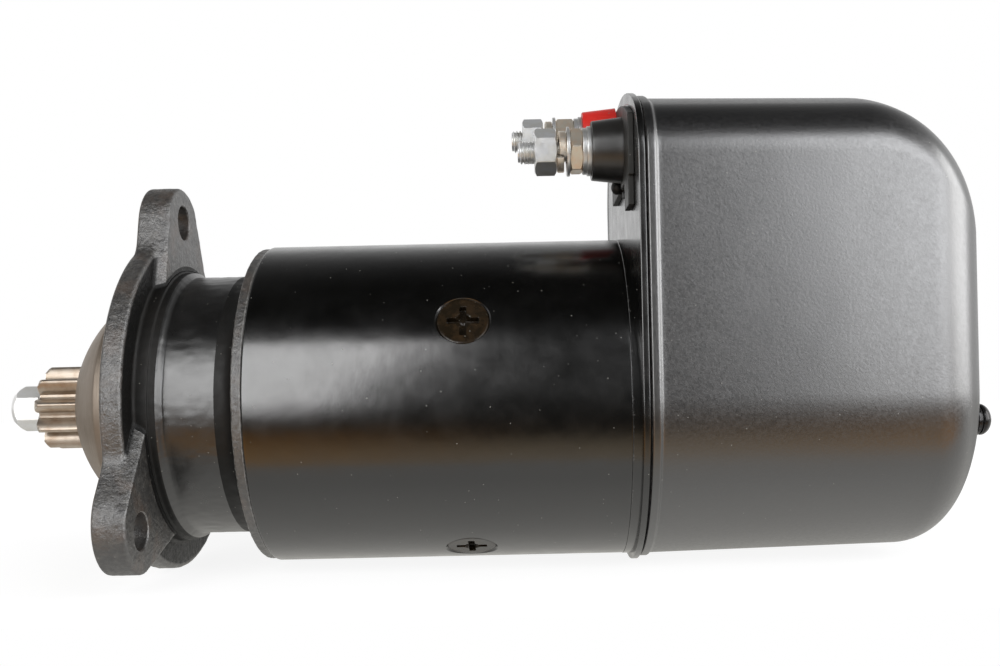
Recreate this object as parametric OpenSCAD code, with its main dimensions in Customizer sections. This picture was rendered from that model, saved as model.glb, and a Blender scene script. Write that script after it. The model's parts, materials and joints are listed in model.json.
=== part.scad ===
// Heavy-duty starter motor with a coaxial engaging solenoid under a deep-drawn rear cap.
// X runs along the turning axis: the pinion points to -X and the rear cap to +X.
// The origin is the centre of the pilot on the flange's mounting face.
// Angles round the axis are counted from -Y, positive towards +Z.

/* [Flange and drive housing] */
// Radius of the pilot that centres the starter
pilot_r = 46; // [40:0.5:52]
// Length of the cylindrical part of the pilot
pilot_len = 14; // [9:0.5:17]
// Reach of the domed nose in front of the mounting face
nose_len = 31; // [27:0.5:36]
// Width of the nose's front rim
nose_rim_w = 3; // [2:0.25:5]
// Room between the pinion's teeth and the nose's bore
pinion_room = 1.8; // [1:0.1:3]
// Radius of the round flange web
flange_r = 73.7; // [66:0.1:82]
// Thickness of the flange web between the lobes
web_t = 8.6; // [6:0.1:11]
// Thickness of the flange at its bolt lobes
lobe_t = 13.3; // [11.5:0.1:16]
// Radius of a lobe's round end
lobe_r = 21; // [18:0.5:24]
// Distance from a mounting hole in to the centre of its lobe's round end
lobe_inset = 5.5; // [3:0.1:7]
// Radius of the circle of mounting holes
bolt_circle_r = 82.7; // [74:0.1:94]
// Radius of a mounting hole
bolt_hole_r = 7.6; // [6:0.1:8.6]
// Angle of the first lobe
lobe_angle = 84; // [60:1:110]
// How much smaller the neck is than the yoke, in radius
neck_step = 12.8; // [10:0.1:15]
// Distance from the mounting face to the housing's rear rim
neck_len = 49.9; // [44:0.1:57]
// Radius of the hollow fillet between the neck and the rear rim
neck_fillet_r = 7.6; // [4:0.1:9]
// Wall of the neck round the clutch
neck_wall = 8.2; // [7:0.1:9.5]
// Height of the raised ring at the foot of the neck
foot_ring_h = 2.3; // [1:0.1:4]
// Length of that ring behind the lobes
foot_ring_len = 6; // [3:0.5:9]
// How much smaller the housing's rear rim is than the yoke, in radius
rim_step = 0.7; // [0:0.1:2]
// Thickness of the rear rim
rim_t = 4.4; // [3:0.1:7]

/* [Motor] */
// Outer radius of the yoke tube
yoke_r = 71; // [63:0.5:80]
// Wall of the yoke tube
yoke_wall = 8; // [7:0.25:9]
// Length of the yoke tube
yoke_len = 153.2; // [134:0.1:172]
// Angle of the first pole
pole_angle = 27; // [27:1:36]
// Length of a pole shoe
pole_len = 70; // [60:1:80]
// Radius of a pole screw's head
pole_screw_r = 10.7; // [9:0.1:12]
// Armature radius as a share of the yoke's bore
armature_share = 0.667; // [0.6:0.001:0.72]
// Outer radius of the hollow armature shaft
shaft_r = 16; // [14:0.25:18]
// Radius of the bore through the armature shaft
shaft_bore_r = 10; // [8.5:0.1:11.5]
// Commutator radius as a share of the armature's
commutator_share = 0.714; // [0.65:0.001:0.78]
// Length of the commutator
commutator_len = 20; // [19:0.5:24]
// Number of armature slots
slot_count = 24; // [12:1:30]

/* [Pinion] */
// Number of pinion teeth
teeth = 10; // [9:1:12]
// Gear module of the pinion
gear_module = 3; // [2.6:0.05:3.4]
// Length of the pinion
pinion_len = 34; // [30:0.5:38]
// How far the pinion stands out of the nose at rest
pinion_out = 21; // [18:0.5:24]
// Width across flats of the pinion nut
pinion_nut_af = 18; // [16:0.5:20]
// Length of the pinion nut
pinion_nut_len = 13.6; // [11:0.2:16]
// Radius of the pinion shaft in its bush
pinion_shaft_r = 12.5; // [11:0.1:14]
// Travel of the pinion into the ring gear
feed_travel = 20; // [14:0.5:23]

/* [End shield and rear cap] */
// How far the rear cap's sides stand out past the yoke
cap_side_step = 0.3; // [0:0.1:4]
// Height over the axis at which the cap's sides begin to turn in
cap_shoulder_z = 95; // [84:0.5:107]
// Radius of the cap's upper corners
cap_corner_r = 26; // [23:0.5:30]
// Rise of the cap's crown over its upper corners
crown_rise = 10.5; // [8:0.5:14]
// Length of the cap behind its gasket
cap_len = 137; // [122:0.5:160]
// Wall of the cap
cap_wall = 2; // [1.2:0.1:3]
// Draft of the cap, inwards per millimetre of length
cap_draft = 0.019; // [0.005:0.001:0.025]
// Radius of the cap's rear edge at the sides and below
cap_rear_r = 23; // [18:0.5:26]
// Length of the cap's rear rounding at the crown
crown_fall_len = 47; // [35:0.5:55]
// Drop of the cap's rear rounding at the crown
crown_fall = 62; // [40:0.5:70]
// Width of the raised lip round the cap's mouth
cap_lip_len = 6; // [4:0.25:9]
// Height of that lip
cap_lip_h = 1.2; // [0.6:0.1:2]
// Thickness of the end shield's outer plate
shield_t = 2.6; // [2:0.1:4]
// Length of the end shield's round shoulder behind the yoke
shoulder_len = 4.1; // [3:0.1:6]
// How far the end shield stands out round the cap
shield_margin = 2.5; // [1.5:0.1:4]
// Thickness of the cap gasket
gasket_t = 0.6; // [0.4:0.1:1.2]
// Distance of a cap stud from the middle plane as a share of the cap's half width
cap_stud_share = 0.575; // [0.52:0.005:0.6]
// How far below the axis the cap studs are
cap_stud_drop = 12.7; // [8:0.1:20]

/* [Terminals] */
// Sideways distance of the motor terminal from the middle plane
motor_post_side = 29; // [26:0.5:33]
// Depth of the motor terminal under the cap's crown
motor_post_depth = 25.5; // [23:0.1:28.5]
// Depth of the battery terminal under the cap's crown
battery_post_depth = 13.7; // [12:0.1:15]
// Thread radius of the terminal studs
post_r = 5; // [4.4:0.1:5.6]
// Length of the motor terminal's insulator
insulator_len = 13; // [11:0.1:16]
// How much longer the battery terminal's insulator is
battery_lift = 2; // [0:0.1:4]
// Thickness of the motor terminal's lock nut
motor_lock_t = 5.4; // [4:0.1:8]
// Thickness of the battery terminal's lock nut
battery_lock_t = 8.3; // [5:0.1:10]
// How far the motor stud stands out of its top nut
motor_tip = 7.1; // [4:0.1:9]
// How far the battery stud stands out of its top nut
battery_tip = 4.8; // [4:0.1:9]
// Rear radius of a terminal insulator
insulator_r = 14; // [12:0.1:15]
// Width across flats of the terminal nuts
post_nut_af = 17.6; // [15:0.1:20]
// Thickness of the insulating base plate
base_plate_t = 2.5; // [2:0.1:4.5]

/* [Solenoid and relay] */
// Room between the solenoid case and the cap studs
solenoid_room = 1.9; // [1:0.1:3]
// Length of the solenoid case
solenoid_len = 78; // [68:0.5:88]
// Plunger radius as a share of the solenoid's
plunger_share = 0.6; // [0.5:0.01:0.66]
// Radius of the engaging rod
rod_r = 5; // [4:0.1:6]
// Outer radius of the control relay
relay_r = 20; // [17.5:0.25:22.5]
// Length of the control relay
relay_len = 50; // [44:0.5:56]
// Stroke of the contact bridge
contact_stroke = 2.7; // [2:0.1:3.5]

/* [Hidden] */
$fn = 64;

// Clearance between pieces that are fixed to each other
fit = 0.05;
// Radial clearance of a running or sliding shaft
running = 0.03;
// Clearance between pieces that move past each other
clear = 0.3;
// Overlap of a cut past the face it opens
cut = 1;

// Wall of a bush, a small boss or a bored end
wall = 4;
// Chamfer or rounding of a machined edge
edge = 1;

// Stations along the axis
rim_x = neck_len;
yoke_x = rim_x + rim_t;
yoke_end_x = yoke_x + yoke_len;
face_x = yoke_end_x + shoulder_len;
seam_x = face_x + shield_t;
cap_x = seam_x + gasket_t;
cap_end_x = cap_x + cap_len;
yoke_in_r = yoke_r - yoke_wall;
neck_r = yoke_r - neck_step;

// Pinion
pitch_r = gear_module * teeth / 2;
pressure_angle = 20;
base_r = pitch_r * cos(pressure_angle);
profile_shift = 0.5;
addendum = 0.9;
dedendum = 1.2;
tip_r = pitch_r + gear_module * (addendum + profile_shift);
root_r = pitch_r - gear_module * (dedendum - profile_shift);
tooth_turn = 5;
tooth_chamfer = 2;
pinion_rim = 3.9;
pinion_bore_r = root_r - pinion_rim;
pinion_shoulder = 3;
pinion_thread_r = pinion_bore_r - pinion_shoulder;
pinion_x = -nose_len - pinion_out;
pinion_back_x = pinion_x + pinion_len;
pinion_washer_t = 1.5;
pinion_nut_x = pinion_x - pinion_washer_t - pinion_nut_len;

// Nose: a ball that passes through the pilot's end and the front rim
nose_bore_r = tip_r + pinion_room;
nose_tip_r = nose_bore_r + nose_rim_w;
nose_ball_x = (nose_len * nose_len + nose_tip_r * nose_tip_r - pilot_len * pilot_len - pilot_r * pilot_r)
    / (2 * (pilot_len - nose_len));
nose_ball_r = sqrt(pow(pilot_len + nose_ball_x, 2) + pilot_r * pilot_r);

// Inside of the drive housing
lobe_reach = bolt_circle_r - lobe_inset;
lobe_root_reach = 38;
lobe_root_r = 34;
foot_ring_r = neck_r + foot_ring_h;
rim_r = yoke_r - rim_step;
pinion_gap = 2.5;
pocket_x = pinion_back_x + pinion_gap;
seal_x = pocket_x + edge;
seal_len = 5;
seal_wall = 6.5;
seal_r = pinion_shaft_r + seal_wall;
bush_gap = 0.5;
bush_x = seal_x + seal_len + bush_gap;
bush_stand = 0.7;
bush_end_x = lobe_t + bush_stand;
bush_r = pinion_shaft_r + running + wall;
bearing_shelf = 3.3;
bearing_x = bush_end_x + bearing_shelf;
bearing_len = 13;
bearing_end_x = bearing_x + bearing_len;
drive_sleeve_wall = 7.5;
sleeve_r = pinion_shaft_r + drive_sleeve_wall;
bearing_wall = 11;
bearing_r = sleeve_r + bearing_wall;
bearing_lip = 7;
throat_r = bearing_r - bearing_lip;
clutch_space_r = neck_r - neck_wall;
spigot_len = 6;
spigot_r = yoke_in_r - fit;

// Overload clutch
basket_gap = 2.7;
basket_x = bearing_end_x + basket_gap;
basket_stand = 2.2;
basket_end_x = yoke_x + spigot_len + basket_stand;
basket_r = clutch_space_r - wall;
shaft_room = 0.7;
shaft_passage_r = pinion_shaft_r + shaft_room;
clutch_in_x = basket_x + wall + edge;
hub_wall = 8.8;
clutch_hub_r = shaft_passage_r + hub_wall;
disc_count = 5;
disc_pitch = 0.6 * (basket_end_x - clutch_in_x) / disc_count;
disc_t = 0.8 * disc_pitch;
discs_end_x = clutch_in_x + disc_pitch * disc_count;
clutch_spring_t = 1.8;

// Through bolts between the poles
through_bolt_r = 4;
bolt_offset = 1.2;
through_bolt_circle_r = (clutch_space_r + bolt_offset + spigot_r) / 2;
through_bolt_angle = pole_angle + 45;
bolt_bottom = 1.6;
through_bolt_x = rim_x + bolt_bottom;
through_bolt_af = 13;
through_bolt_head_h = 5.5;

// Armature, set out from its rear end
end_play = 1.5;
winding_len = 11;
winding_gap = 0.4;
core_inset = 2;
commutator_end_x = yoke_end_x - end_play;
commutator_x = commutator_end_x - commutator_len;
core_end_x = commutator_x - winding_gap - winding_len - clear;
armature_r = armature_share * yoke_in_r;
commutator_r = commutator_share * armature_r;
journal_wall = 2;
journal_r = shaft_bore_r + journal_wall;
flange_disc_t = 3.5;
hollow_x = basket_end_x + flange_disc_t;

// Poles and field coils
pole_end_x = core_end_x + core_inset;
pole_mid_x = pole_end_x - pole_len / 2;
pole_x = pole_end_x - pole_len;
core_x = pole_x + core_inset;
air_gap = 1.3;
shoe_r = armature_r + air_gap;
shoe_tip_t = 4.7;
core_r = shoe_r + shoe_tip_t;
pole_half_w = armature_r / 3;
shoe_half_angle = 33;
coil_half_angle = 36;
coil_gap = 0.5;
coil_overhang = 10;
pole_thread_r = 6;
head_cone_len = 0.75 * yoke_wall;
head_sink = 0.75;

// Pinion shaft inside the motor
tail_setback = 2.5;
pinion_tail_x = basket_end_x - tail_setback;
rod_joint = 6;
pinion_end_x = pole_x + rod_joint;
key_len = 0.47 * pinion_len;
key_setback = 6;
key_w = 4;
key_h = 2.4;
key_sink = 1.2;

// End shield
shoulder_margin = 1.2;
boss_len = 11.8;
boss_end_x = seam_x + boss_len;
rear_bush_x = yoke_end_x + end_play;
bush_lip = 2;
rear_bush_end_x = boss_end_x - bush_lip;
rear_bush_r = journal_r + running + wall;
boss_wall = 8;
boss_r = rear_bush_r + boss_wall;
shield_spigot_len = 5.5;
shield_spigot_wall = 4.7;
border_w = 5;
border_h = 1.5;

// Brush gear
brush_plate_t = 3;
brush_plate_x = yoke_end_x - brush_plate_t;
holder_len = 15;
holder_w = 20;
holder_gap = 3;
holder_in_r = commutator_r + holder_gap;
holder_room = 2.1;
holder_out_r = through_bolt_circle_r - through_bolt_r - holder_room;
holder_lid = 1.5;
brush_plate_r = holder_out_r - holder_lid;
brush_len = 11;
brush_w = 16;
brush_travel_room = 5;
brush_face_r = commutator_r + clear;
brush_top_r = holder_out_r - holder_lid - brush_travel_room;
holder_front = 1.3;
brush_mid_x = brush_plate_x - holder_len + holder_front + (brush_len + 2 * clear) / 2;
brush_angles = [for (i = [0:3]) pole_angle + 45 + 90 * i];

// Rear cap
cap_half_w = yoke_r + cap_side_step;
cap_top_z = cap_shoulder_z + cap_corner_r + crown_rise;
cap_stud_y = cap_stud_share * cap_half_w;
cap_stud_z = -cap_stud_drop;
cap_stud_r = 3;
cap_stud_foot = 2;
cap_washer_t = 1;
cap_nut_r = 6.7;
cap_nut_h = 7;
cap_nut_crown = 2.5;

// Solenoid on the axis behind the end shield
solenoid_r = sqrt(cap_stud_y * cap_stud_y + cap_stud_z * cap_stud_z) - cap_stud_r - solenoid_room;
solenoid_x = boss_end_x;
solenoid_end_x = solenoid_x + solenoid_len;
solenoid_wall = 3.5;
plunger_r = plunger_share * solenoid_r;
solenoid_front_t = 5;
end_plate_t = 4;
rod_room = 1.5;
rod_hole_r = rod_r + rod_room;
sleeve_wall = 0.6;
sleeve_out_r = plunger_r + running + sleeve_wall;
stop_len = 21;
stop_x = solenoid_x + solenoid_front_t + stop_len;
plunger_reserve = 2;
plunger_x = stop_x + feed_travel + plunger_reserve;
plunger_tail = 18;
plunger_end_x = solenoid_end_x + end_plate_t + plunger_tail;
rod_socket = 13;

// Terminals on the end shield's front face
motor_post_y = -motor_post_side;
motor_post_z = cap_top_z - motor_post_depth;
battery_post_y = 0;
battery_post_z = cap_top_z - battery_post_depth;
base_x = face_x - base_plate_t;
insulator_taper = 1.5;
insulator_front_r = insulator_r - insulator_taper;
post_head_x = seam_x + boss_len;
post_head_t = 4;
post_head_r = 9;
thread_depth = 0.7;
shank_r = post_r - thread_depth;
flat_washer_t = 1.9;
washer_margin = 1.7;
flat_washer_r = post_nut_af / 2 + washer_margin;
thin_washer_t = 1.4;
spring_washer_t = 4.3;
top_nut_t = 9.5;
base_foot_w = 15;
base_foot_h = 12;
plug_y = -19;
plug_depth = 39.5;
plug_z = cap_top_z - plug_depth;
plug_r = 4;
plug_flange_w = 1;
plug_gap = 0.5;

// Control relay under the cap's crown
relay_y = -8;
relay_depth = 41.5;
relay_z = cap_top_z - relay_depth;
bridge_t = 4;
bridge_pad_r = 7.5;
bridge_w = 9;
bridge_x = post_head_x + post_head_t + contact_stroke + clear;
relay_gap = 3;
relay_x = bridge_x + bridge_t + relay_gap;
relay_wall = 2.5;
relay_rod_r = 3;
disc_reserve = 1.3;
relay_disc_gap = contact_stroke + disc_reserve;
relay_disc_t = 5;
bracket_half_w = 13;
bracket_inset = 6;

// Field strap behind the end shield, beside the upper through bolt's head
strap_t = 2;
strap_w = 7;
strap_gap = 0.5;
strap_stand = 1.8;
strap_x = seam_x + strap_stand;
strap_y = -through_bolt_circle_r * cos(through_bolt_angle) - through_bolt_af / sqrt(3) - strap_gap
    - strap_w / 2;
strap_depth = 8.6;
strap_foot_r = yoke_in_r - strap_depth;
strap_foot_t = 2.5;
strap_foot_z = sqrt(strap_foot_r * strap_foot_r - strap_y * strap_y) - strap_foot_t / 2;
strap_tip_x = pole_end_x + coil_overhang + fit;

// Moves a piece that is built along +Z onto the axis, starting at x.
module along_x(x) {
    translate([x, 0, 0]) rotate([0, 90, 0]) children();
}

// Extrudes a drawing in the Y-Z plane along +X, starting at x.
module slab_x(x, len) {
    translate([x, 0, 0]) rotate([90, 0, 90]) linear_extrude(len) children();
}

// Solid round bar on the axis.
module bar_x(x, len, r) {
    along_x(x) cylinder(r = r, h = len);
}

// Tube on the axis.
module tube_x(x, len, r_out, r_in) {
    along_x(x) difference() {
        cylinder(r = r_out, h = len);
        translate([0, 0, -cut]) cylinder(r = r_in, h = len + 2 * cut);
    }
}

// Turns a profile of [radius, x] points round the axis.
module turned(points) {
    rotate([0, 90, 0]) rotate_extrude() polygon(points);
}

// Places what is built on the -Y side at an angle round the axis.
module at_angle(a) {
    rotate([-a, 0, 0]) children();
}

// Points a piece that is built along +Z outwards along -Y, starting at radius r.
module outwards(x, r) {
    translate([x, -r, 0]) rotate([90, 0, 0]) children();
}

// Hexagonal prism along X.
module hex_x(x, len, across_flats) {
    along_x(x) cylinder(r = across_flats / sqrt(3), h = len, $fn = 6);
}

// Piece of a tube between two angles, centred on -Y.
module sector_x(x, len, r_in, r_out, half_angle) {
    reach = 2 * r_out;
    intersection() {
        tube_x(x, len, r_out, r_in);
        slab_x(x - cut, len + 2 * cut)
            polygon([[0, 0], [-reach, reach * tan(half_angle)], [-reach, -reach * tan(half_angle)]]);
    }
}

// Outline of the cap's mouth, drawn in by inset and with its crown lowered.
module cap_outline(inset = 0, lower = 0) {
    w = cap_half_w - inset;
    r = cap_corner_r - inset;
    corner_y = cap_half_w - cap_corner_r;
    shoulder_z = cap_shoulder_z - lower;
    rise = cap_top_z - cap_shoulder_z;
    crown_r = (corner_y * corner_y + rise * rise - cap_corner_r * cap_corner_r) / (2 * (rise - cap_corner_r));
    crown_z = cap_top_z - crown_r - lower;
    reach = 2 * crown_r;
    slope = corner_y / (shoulder_z - crown_z);
    circle(r = w);
    translate([-w, 0]) square([2 * w, shoulder_z]);
    for (side = [-1, 1]) translate([side * corner_y, shoulder_z]) circle(r = r);
    intersection() {
        translate([0, crown_z]) circle(r = crown_r - inset, $fn = 256);
        polygon([[0, crown_z], [-reach * slope, crown_z + reach], [reach * slope, crown_z + reach]]);
    }
}

// Drive end

// Outline of one bolt lobe, pointing along -Y.
module lobe_outline() {
    span = lobe_reach - lobe_root_reach;
    s = (lobe_root_r - lobe_r) / span;
    q = sqrt(1 - s * s);
    translate([-lobe_reach, 0]) circle(r = lobe_r);
    polygon([
        [-lobe_reach - lobe_r * s, lobe_r * q],
        [-lobe_root_reach - lobe_root_r * s, lobe_root_r * q],
        [-lobe_root_reach - lobe_root_r * s, -lobe_root_r * q],
        [-lobe_reach - lobe_r * s, -lobe_r * q]]);
}

module drive_housing() {
    lobe_angles = [for (i = [0:2]) lobe_angle + 120 * i];
    step_r = foot_ring_r + edge;
    step_x = lobe_t + edge;
    foot_end_x = lobe_t + foot_ring_len;
    turns = 6;
    fillet = [for (i = [0:turns]) let (a = 90 * i / turns)
        [neck_r + neck_fillet_r * (1 - cos(a)), rim_x - neck_fillet_r * (1 - sin(a))]];
    color("#2b2a29") difference() {
        union() {
            intersection() {
                bar_x(-nose_len, nose_len, pilot_r);
                translate([nose_ball_x, 0, 0]) sphere(r = nose_ball_r);
            }
            bar_x(0, web_t, flange_r);
            for (a = lobe_angles) slab_x(0, lobe_t) rotate(-a) lobe_outline();
            turned(concat([[0, 0], [step_r, 0], [step_r, step_x], [foot_ring_r, step_x],
                [foot_ring_r, foot_end_x - foot_ring_h], [neck_r, foot_end_x]], fillet,
                [[rim_r, rim_x], [rim_r, yoke_x], [spigot_r, yoke_x], [spigot_r, yoke_x + spigot_len],
                [0, yoke_x + spigot_len]]));
        }
        for (a = lobe_angles) at_angle(a) translate([0, -bolt_circle_r, 0])
            along_x(-cut) cylinder(r = bolt_hole_r, h = lobe_t + 2 * cut);
        bar_x(-nose_len - cut, nose_len + pocket_x + cut, nose_bore_r);
        bar_x(pocket_x - cut, seal_x + seal_len - pocket_x + cut, seal_r);
        bar_x(seal_x, bush_end_x - seal_x + cut, bush_r);
        bar_x(bush_end_x, bearing_end_x - bush_end_x, throat_r);
        bar_x(bearing_x, bearing_len + cut, bearing_r);
        bar_x(bearing_end_x, yoke_x + spigot_len - bearing_end_x + cut, clutch_space_r);
        for (side = [0, 180]) at_angle(through_bolt_angle + side) translate([0, -through_bolt_circle_r, 0])
            along_x(through_bolt_x) cylinder(r = through_bolt_r + fit, h = yoke_x + spigot_len);
    }
}

module shaft_seal() {
    color("#151515") tube_x(seal_x, seal_len, seal_r - fit, pinion_shaft_r + running);
}

module nose_bush() {
    color("#b08d57") tube_x(bush_x, bush_end_x - bush_x, bush_r - fit, pinion_shaft_r + running);
}

module drive_bearing() {
    color("#9a9da1") tube_x(bearing_x + fit, bearing_len - fit, bearing_r - fit, sleeve_r + running);
}

// Yoke and field

module yoke() {
    bevel = 0.6;
    color("#141414") difference() {
        turned([[yoke_in_r, yoke_x], [yoke_r - bevel, yoke_x], [yoke_r, yoke_x + bevel],
            [yoke_r, yoke_end_x - bevel], [yoke_r - bevel, yoke_end_x], [yoke_in_r, yoke_end_x]]);
        for (i = [0:3]) at_angle(pole_angle + 90 * i) {
            outwards(pole_mid_x, yoke_in_r - cut) cylinder(r = pole_thread_r + fit, h = yoke_wall + 2 * cut);
            outwards(pole_mid_x, yoke_r - head_sink - head_cone_len)
                cylinder(r1 = pole_thread_r + fit, r2 = pole_screw_r + fit, h = head_cone_len);
            outwards(pole_mid_x, yoke_r - head_sink) cylinder(r = pole_screw_r + fit, h = head_sink + cut);
        }
    }
}

module pole_shoes() {
    color("#4a4a4c") for (i = [0:3]) at_angle(pole_angle + 90 * i) difference() {
        union() {
            sector_x(pole_x, pole_len, shoe_r, core_r, shoe_half_angle);
            intersection() {
                tube_x(pole_x, pole_len, yoke_in_r - fit, core_r - cut);
                translate([pole_x, -yoke_r, -pole_half_w]) cube([pole_len, yoke_r, 2 * pole_half_w]);
            }
        }
        outwards(pole_mid_x, core_r) cylinder(r = pole_thread_r + fit, h = yoke_in_r);
    }
}

module pole_screws() {
    slot_l = 1.3 * pole_screw_r;
    slot_w = 2.2;
    slot_d = 2.4;
    head_r = yoke_r - head_sink;
    foot_r = core_r + 1;
    color("#241f1b") for (i = [0:3]) at_angle(pole_angle + 90 * i) difference() {
        union() {
            outwards(pole_mid_x, foot_r) cylinder(r = pole_thread_r, h = head_r - foot_r - fit);
            outwards(pole_mid_x, head_r - head_cone_len)
                cylinder(r1 = pole_thread_r, r2 = pole_screw_r, h = head_cone_len - fit);
        }
        outwards(pole_mid_x, head_r - slot_d) for (turn = [0, 90])
            rotate(turn) translate([-slot_l / 2, -slot_w / 2, 0]) cube([slot_l, slot_w, slot_d + cut]);
    }
}

module field_coils() {
    color("#7a3b1d") for (i = [0:3]) at_angle(pole_angle + 90 * i) difference() {
        sector_x(pole_x - coil_overhang, pole_len + 2 * coil_overhang, core_r + coil_gap,
            yoke_in_r - coil_gap, coil_half_angle);
        translate([pole_x - coil_gap, -yoke_r, -pole_half_w - coil_gap])
            cube([pole_len + 2 * coil_gap, yoke_r, 2 * (pole_half_w + coil_gap)]);
    }
}

module through_bolts() {
    color("#6d6f72") for (side = [0, 180]) at_angle(through_bolt_angle + side)
        translate([0, -through_bolt_circle_r, 0]) {
            bar_x(through_bolt_x + fit, seam_x - through_bolt_x, through_bolt_r);
            hex_x(seam_x + fit, through_bolt_head_h, through_bolt_af);
        }
}

// Commutator end

module end_shield() {
    color("#171717") difference() {
        union() {
            bar_x(yoke_end_x, shoulder_len, yoke_r + shoulder_margin);
            slab_x(face_x, shield_t) cap_outline(-shield_margin);
            slab_x(face_x - border_h, border_h + cut) difference() {
                cap_outline(-shield_margin);
                cap_outline(border_w - shield_margin);
            }
            bar_x(yoke_end_x, boss_end_x - yoke_end_x, boss_r);
            tube_x(yoke_end_x - shield_spigot_len, shield_spigot_len + cut, yoke_in_r - fit,
                yoke_in_r - shield_spigot_wall);
        }
        bar_x(rear_bush_x, rear_bush_end_x - rear_bush_x, rear_bush_r);
        bar_x(yoke_end_x - cut, boss_end_x, journal_r + 0.6);
        for (side = [0, 180]) at_angle(through_bolt_angle + side) translate([0, -through_bolt_circle_r, 0])
            bar_x(yoke_end_x - shield_spigot_len - cut, seam_x, through_bolt_r + fit);
        for (p = [[motor_post_y, motor_post_z], [battery_post_y, battery_post_z]])
            translate([0, p[0], p[1]]) bar_x(face_x - cut, shield_t + 2 * cut, post_r + clear);
        translate([0, plug_y, plug_z]) bar_x(face_x - cut, shield_t + 2 * cut, plug_r + fit);
        for (side = [-1, 1]) translate([0, side * cap_stud_y, cap_stud_z])
            bar_x(yoke_end_x + cut, seam_x, cap_stud_r + fit);
        translate([yoke_end_x - cut, strap_y - strap_w / 2 - strap_gap, strap_foot_z - strap_gap])
            cube([seam_x - yoke_end_x + 2 * cut, strap_w + 2 * strap_gap, strap_foot_t + 2 * strap_gap]);
    }
}

module rear_bush() {
    color("#b08d57") tube_x(rear_bush_x + fit, rear_bush_end_x - rear_bush_x - 2 * fit, rear_bush_r - fit,
        journal_r + running);
}

module brush_plate() {
    color("#8c8d8f") tube_x(brush_plate_x, brush_plate_t, brush_plate_r, holder_in_r + edge);
}

module brush_holders() {
    color("#a8895a") for (a = brush_angles) at_angle(a) difference() {
        translate([brush_plate_x - holder_len, -holder_out_r, -holder_w / 2])
            cube([holder_len, holder_out_r - holder_in_r, holder_w]);
        translate([brush_mid_x - brush_len / 2 - clear, -holder_out_r + holder_lid, -brush_w / 2 - clear])
            cube([brush_len + 2 * clear, holder_out_r, brush_w + 2 * clear]);
    }
}

module brush(i) {
    color("#3a3836") at_angle(brush_angles[i])
        translate([brush_mid_x - brush_len / 2, -brush_top_r, -brush_w / 2])
            cube([brush_len, brush_top_r - brush_face_r, brush_w]);
}

module brush_springs() {
    spring_r = 4;
    wire = 1.2;
    color("#b9bcc0") for (a = brush_angles) at_angle(a) outwards(brush_mid_x, brush_top_r + fit)
        difference() {
            cylinder(r = spring_r, h = brush_travel_room - 2 * fit);
            translate([0, 0, -cut]) cylinder(r = spring_r - wire, h = holder_out_r);
        }
}

// Armature

module armature_shaft() {
    color("#b4b6b9") difference() {
        union() {
            bar_x(basket_end_x, flange_disc_t, basket_r);
            bar_x(hollow_x, commutator_end_x - hollow_x, shaft_r);
            bar_x(commutator_end_x, boss_end_x - edge - commutator_end_x, journal_r);
        }
        bar_x(basket_end_x - cut, boss_end_x, shaft_bore_r);
    }
}

module armature_core() {
    slot_w = 3;
    slot_d = 9;
    color("#5a5c60") difference() {
        bar_x(core_x, core_end_x - core_x, armature_r);
        bar_x(core_x - cut, core_end_x, shaft_r + fit);
        for (i = [0:slot_count - 1]) at_angle(360 / slot_count * i)
            translate([core_x - cut, -armature_r - cut, -slot_w / 2])
                cube([core_end_x - core_x + 2 * cut, slot_d + cut, slot_w]);
    }
}

module armature_winding() {
    soft = 3;
    out_r = armature_r - 2;
    in_r = shaft_r + 0.5;
    color("#a8542a") for (x = [core_x - winding_len - clear, core_end_x + clear])
        turned([[in_r, x], [out_r - soft, x], [out_r, x + soft], [out_r, x + winding_len - soft],
            [out_r - soft, x + winding_len], [in_r, x + winding_len]]);
}

module commutator() {
    slit_w = 0.8;
    slit_d = 5;
    color("#b87545") difference() {
        bar_x(commutator_x, commutator_end_x - commutator_x, commutator_r);
        bar_x(commutator_x - cut, commutator_end_x, shaft_r + fit);
        for (i = [0:slot_count - 1]) at_angle(360 / slot_count * (i + 0.5))
            translate([commutator_x - cut, -commutator_r - cut, -slit_w / 2])
                cube([commutator_end_x - commutator_x + 2 * cut, slit_d + cut, slit_w]);
    }
}

// Overload clutch

module clutch_basket() {
    color("#8d9095") difference() {
        union() {
            bar_x(bearing_x - edge, basket_x - bearing_x + edge, sleeve_r);
            bar_x(basket_x, basket_end_x - basket_x, basket_r);
        }
        bar_x(bearing_x - edge - cut, basket_end_x, shaft_passage_r);
        bar_x(basket_x + wall, basket_end_x, basket_r - wall);
    }
}

module clutch_plates() {
    color("#77797d") for (i = [0:disc_count - 1])
        tube_x(clutch_in_x + disc_pitch * i, disc_t, basket_r - wall - clear, clutch_hub_r + clear);
}

module clutch_hub() {
    x = clutch_in_x - edge + clear;
    color("#9a9da1") tube_x(x, basket_end_x - x - clear, clutch_hub_r, shaft_passage_r);
}

module clutch_spring() {
    x = discs_end_x;
    rise = basket_end_x - x - clutch_spring_t - clear;
    in_r = clutch_hub_r + 2;
    out_r = basket_r - wall - edge;
    color("#6d6f72") turned([[in_r, x + rise], [out_r, x], [out_r, x + clutch_spring_t],
        [in_r, x + rise + clutch_spring_t]]);
}

// Pinion

function involute(angle) = tan(angle) * 180 / PI - angle;

// Half of a tooth's angular thickness at radius r
function half_tooth(r) = 90 / teeth + 2 * profile_shift * tan(pressure_angle) / teeth * 180 / PI
    + involute(pressure_angle) - involute(acos(min(1, base_r / r)));

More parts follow.
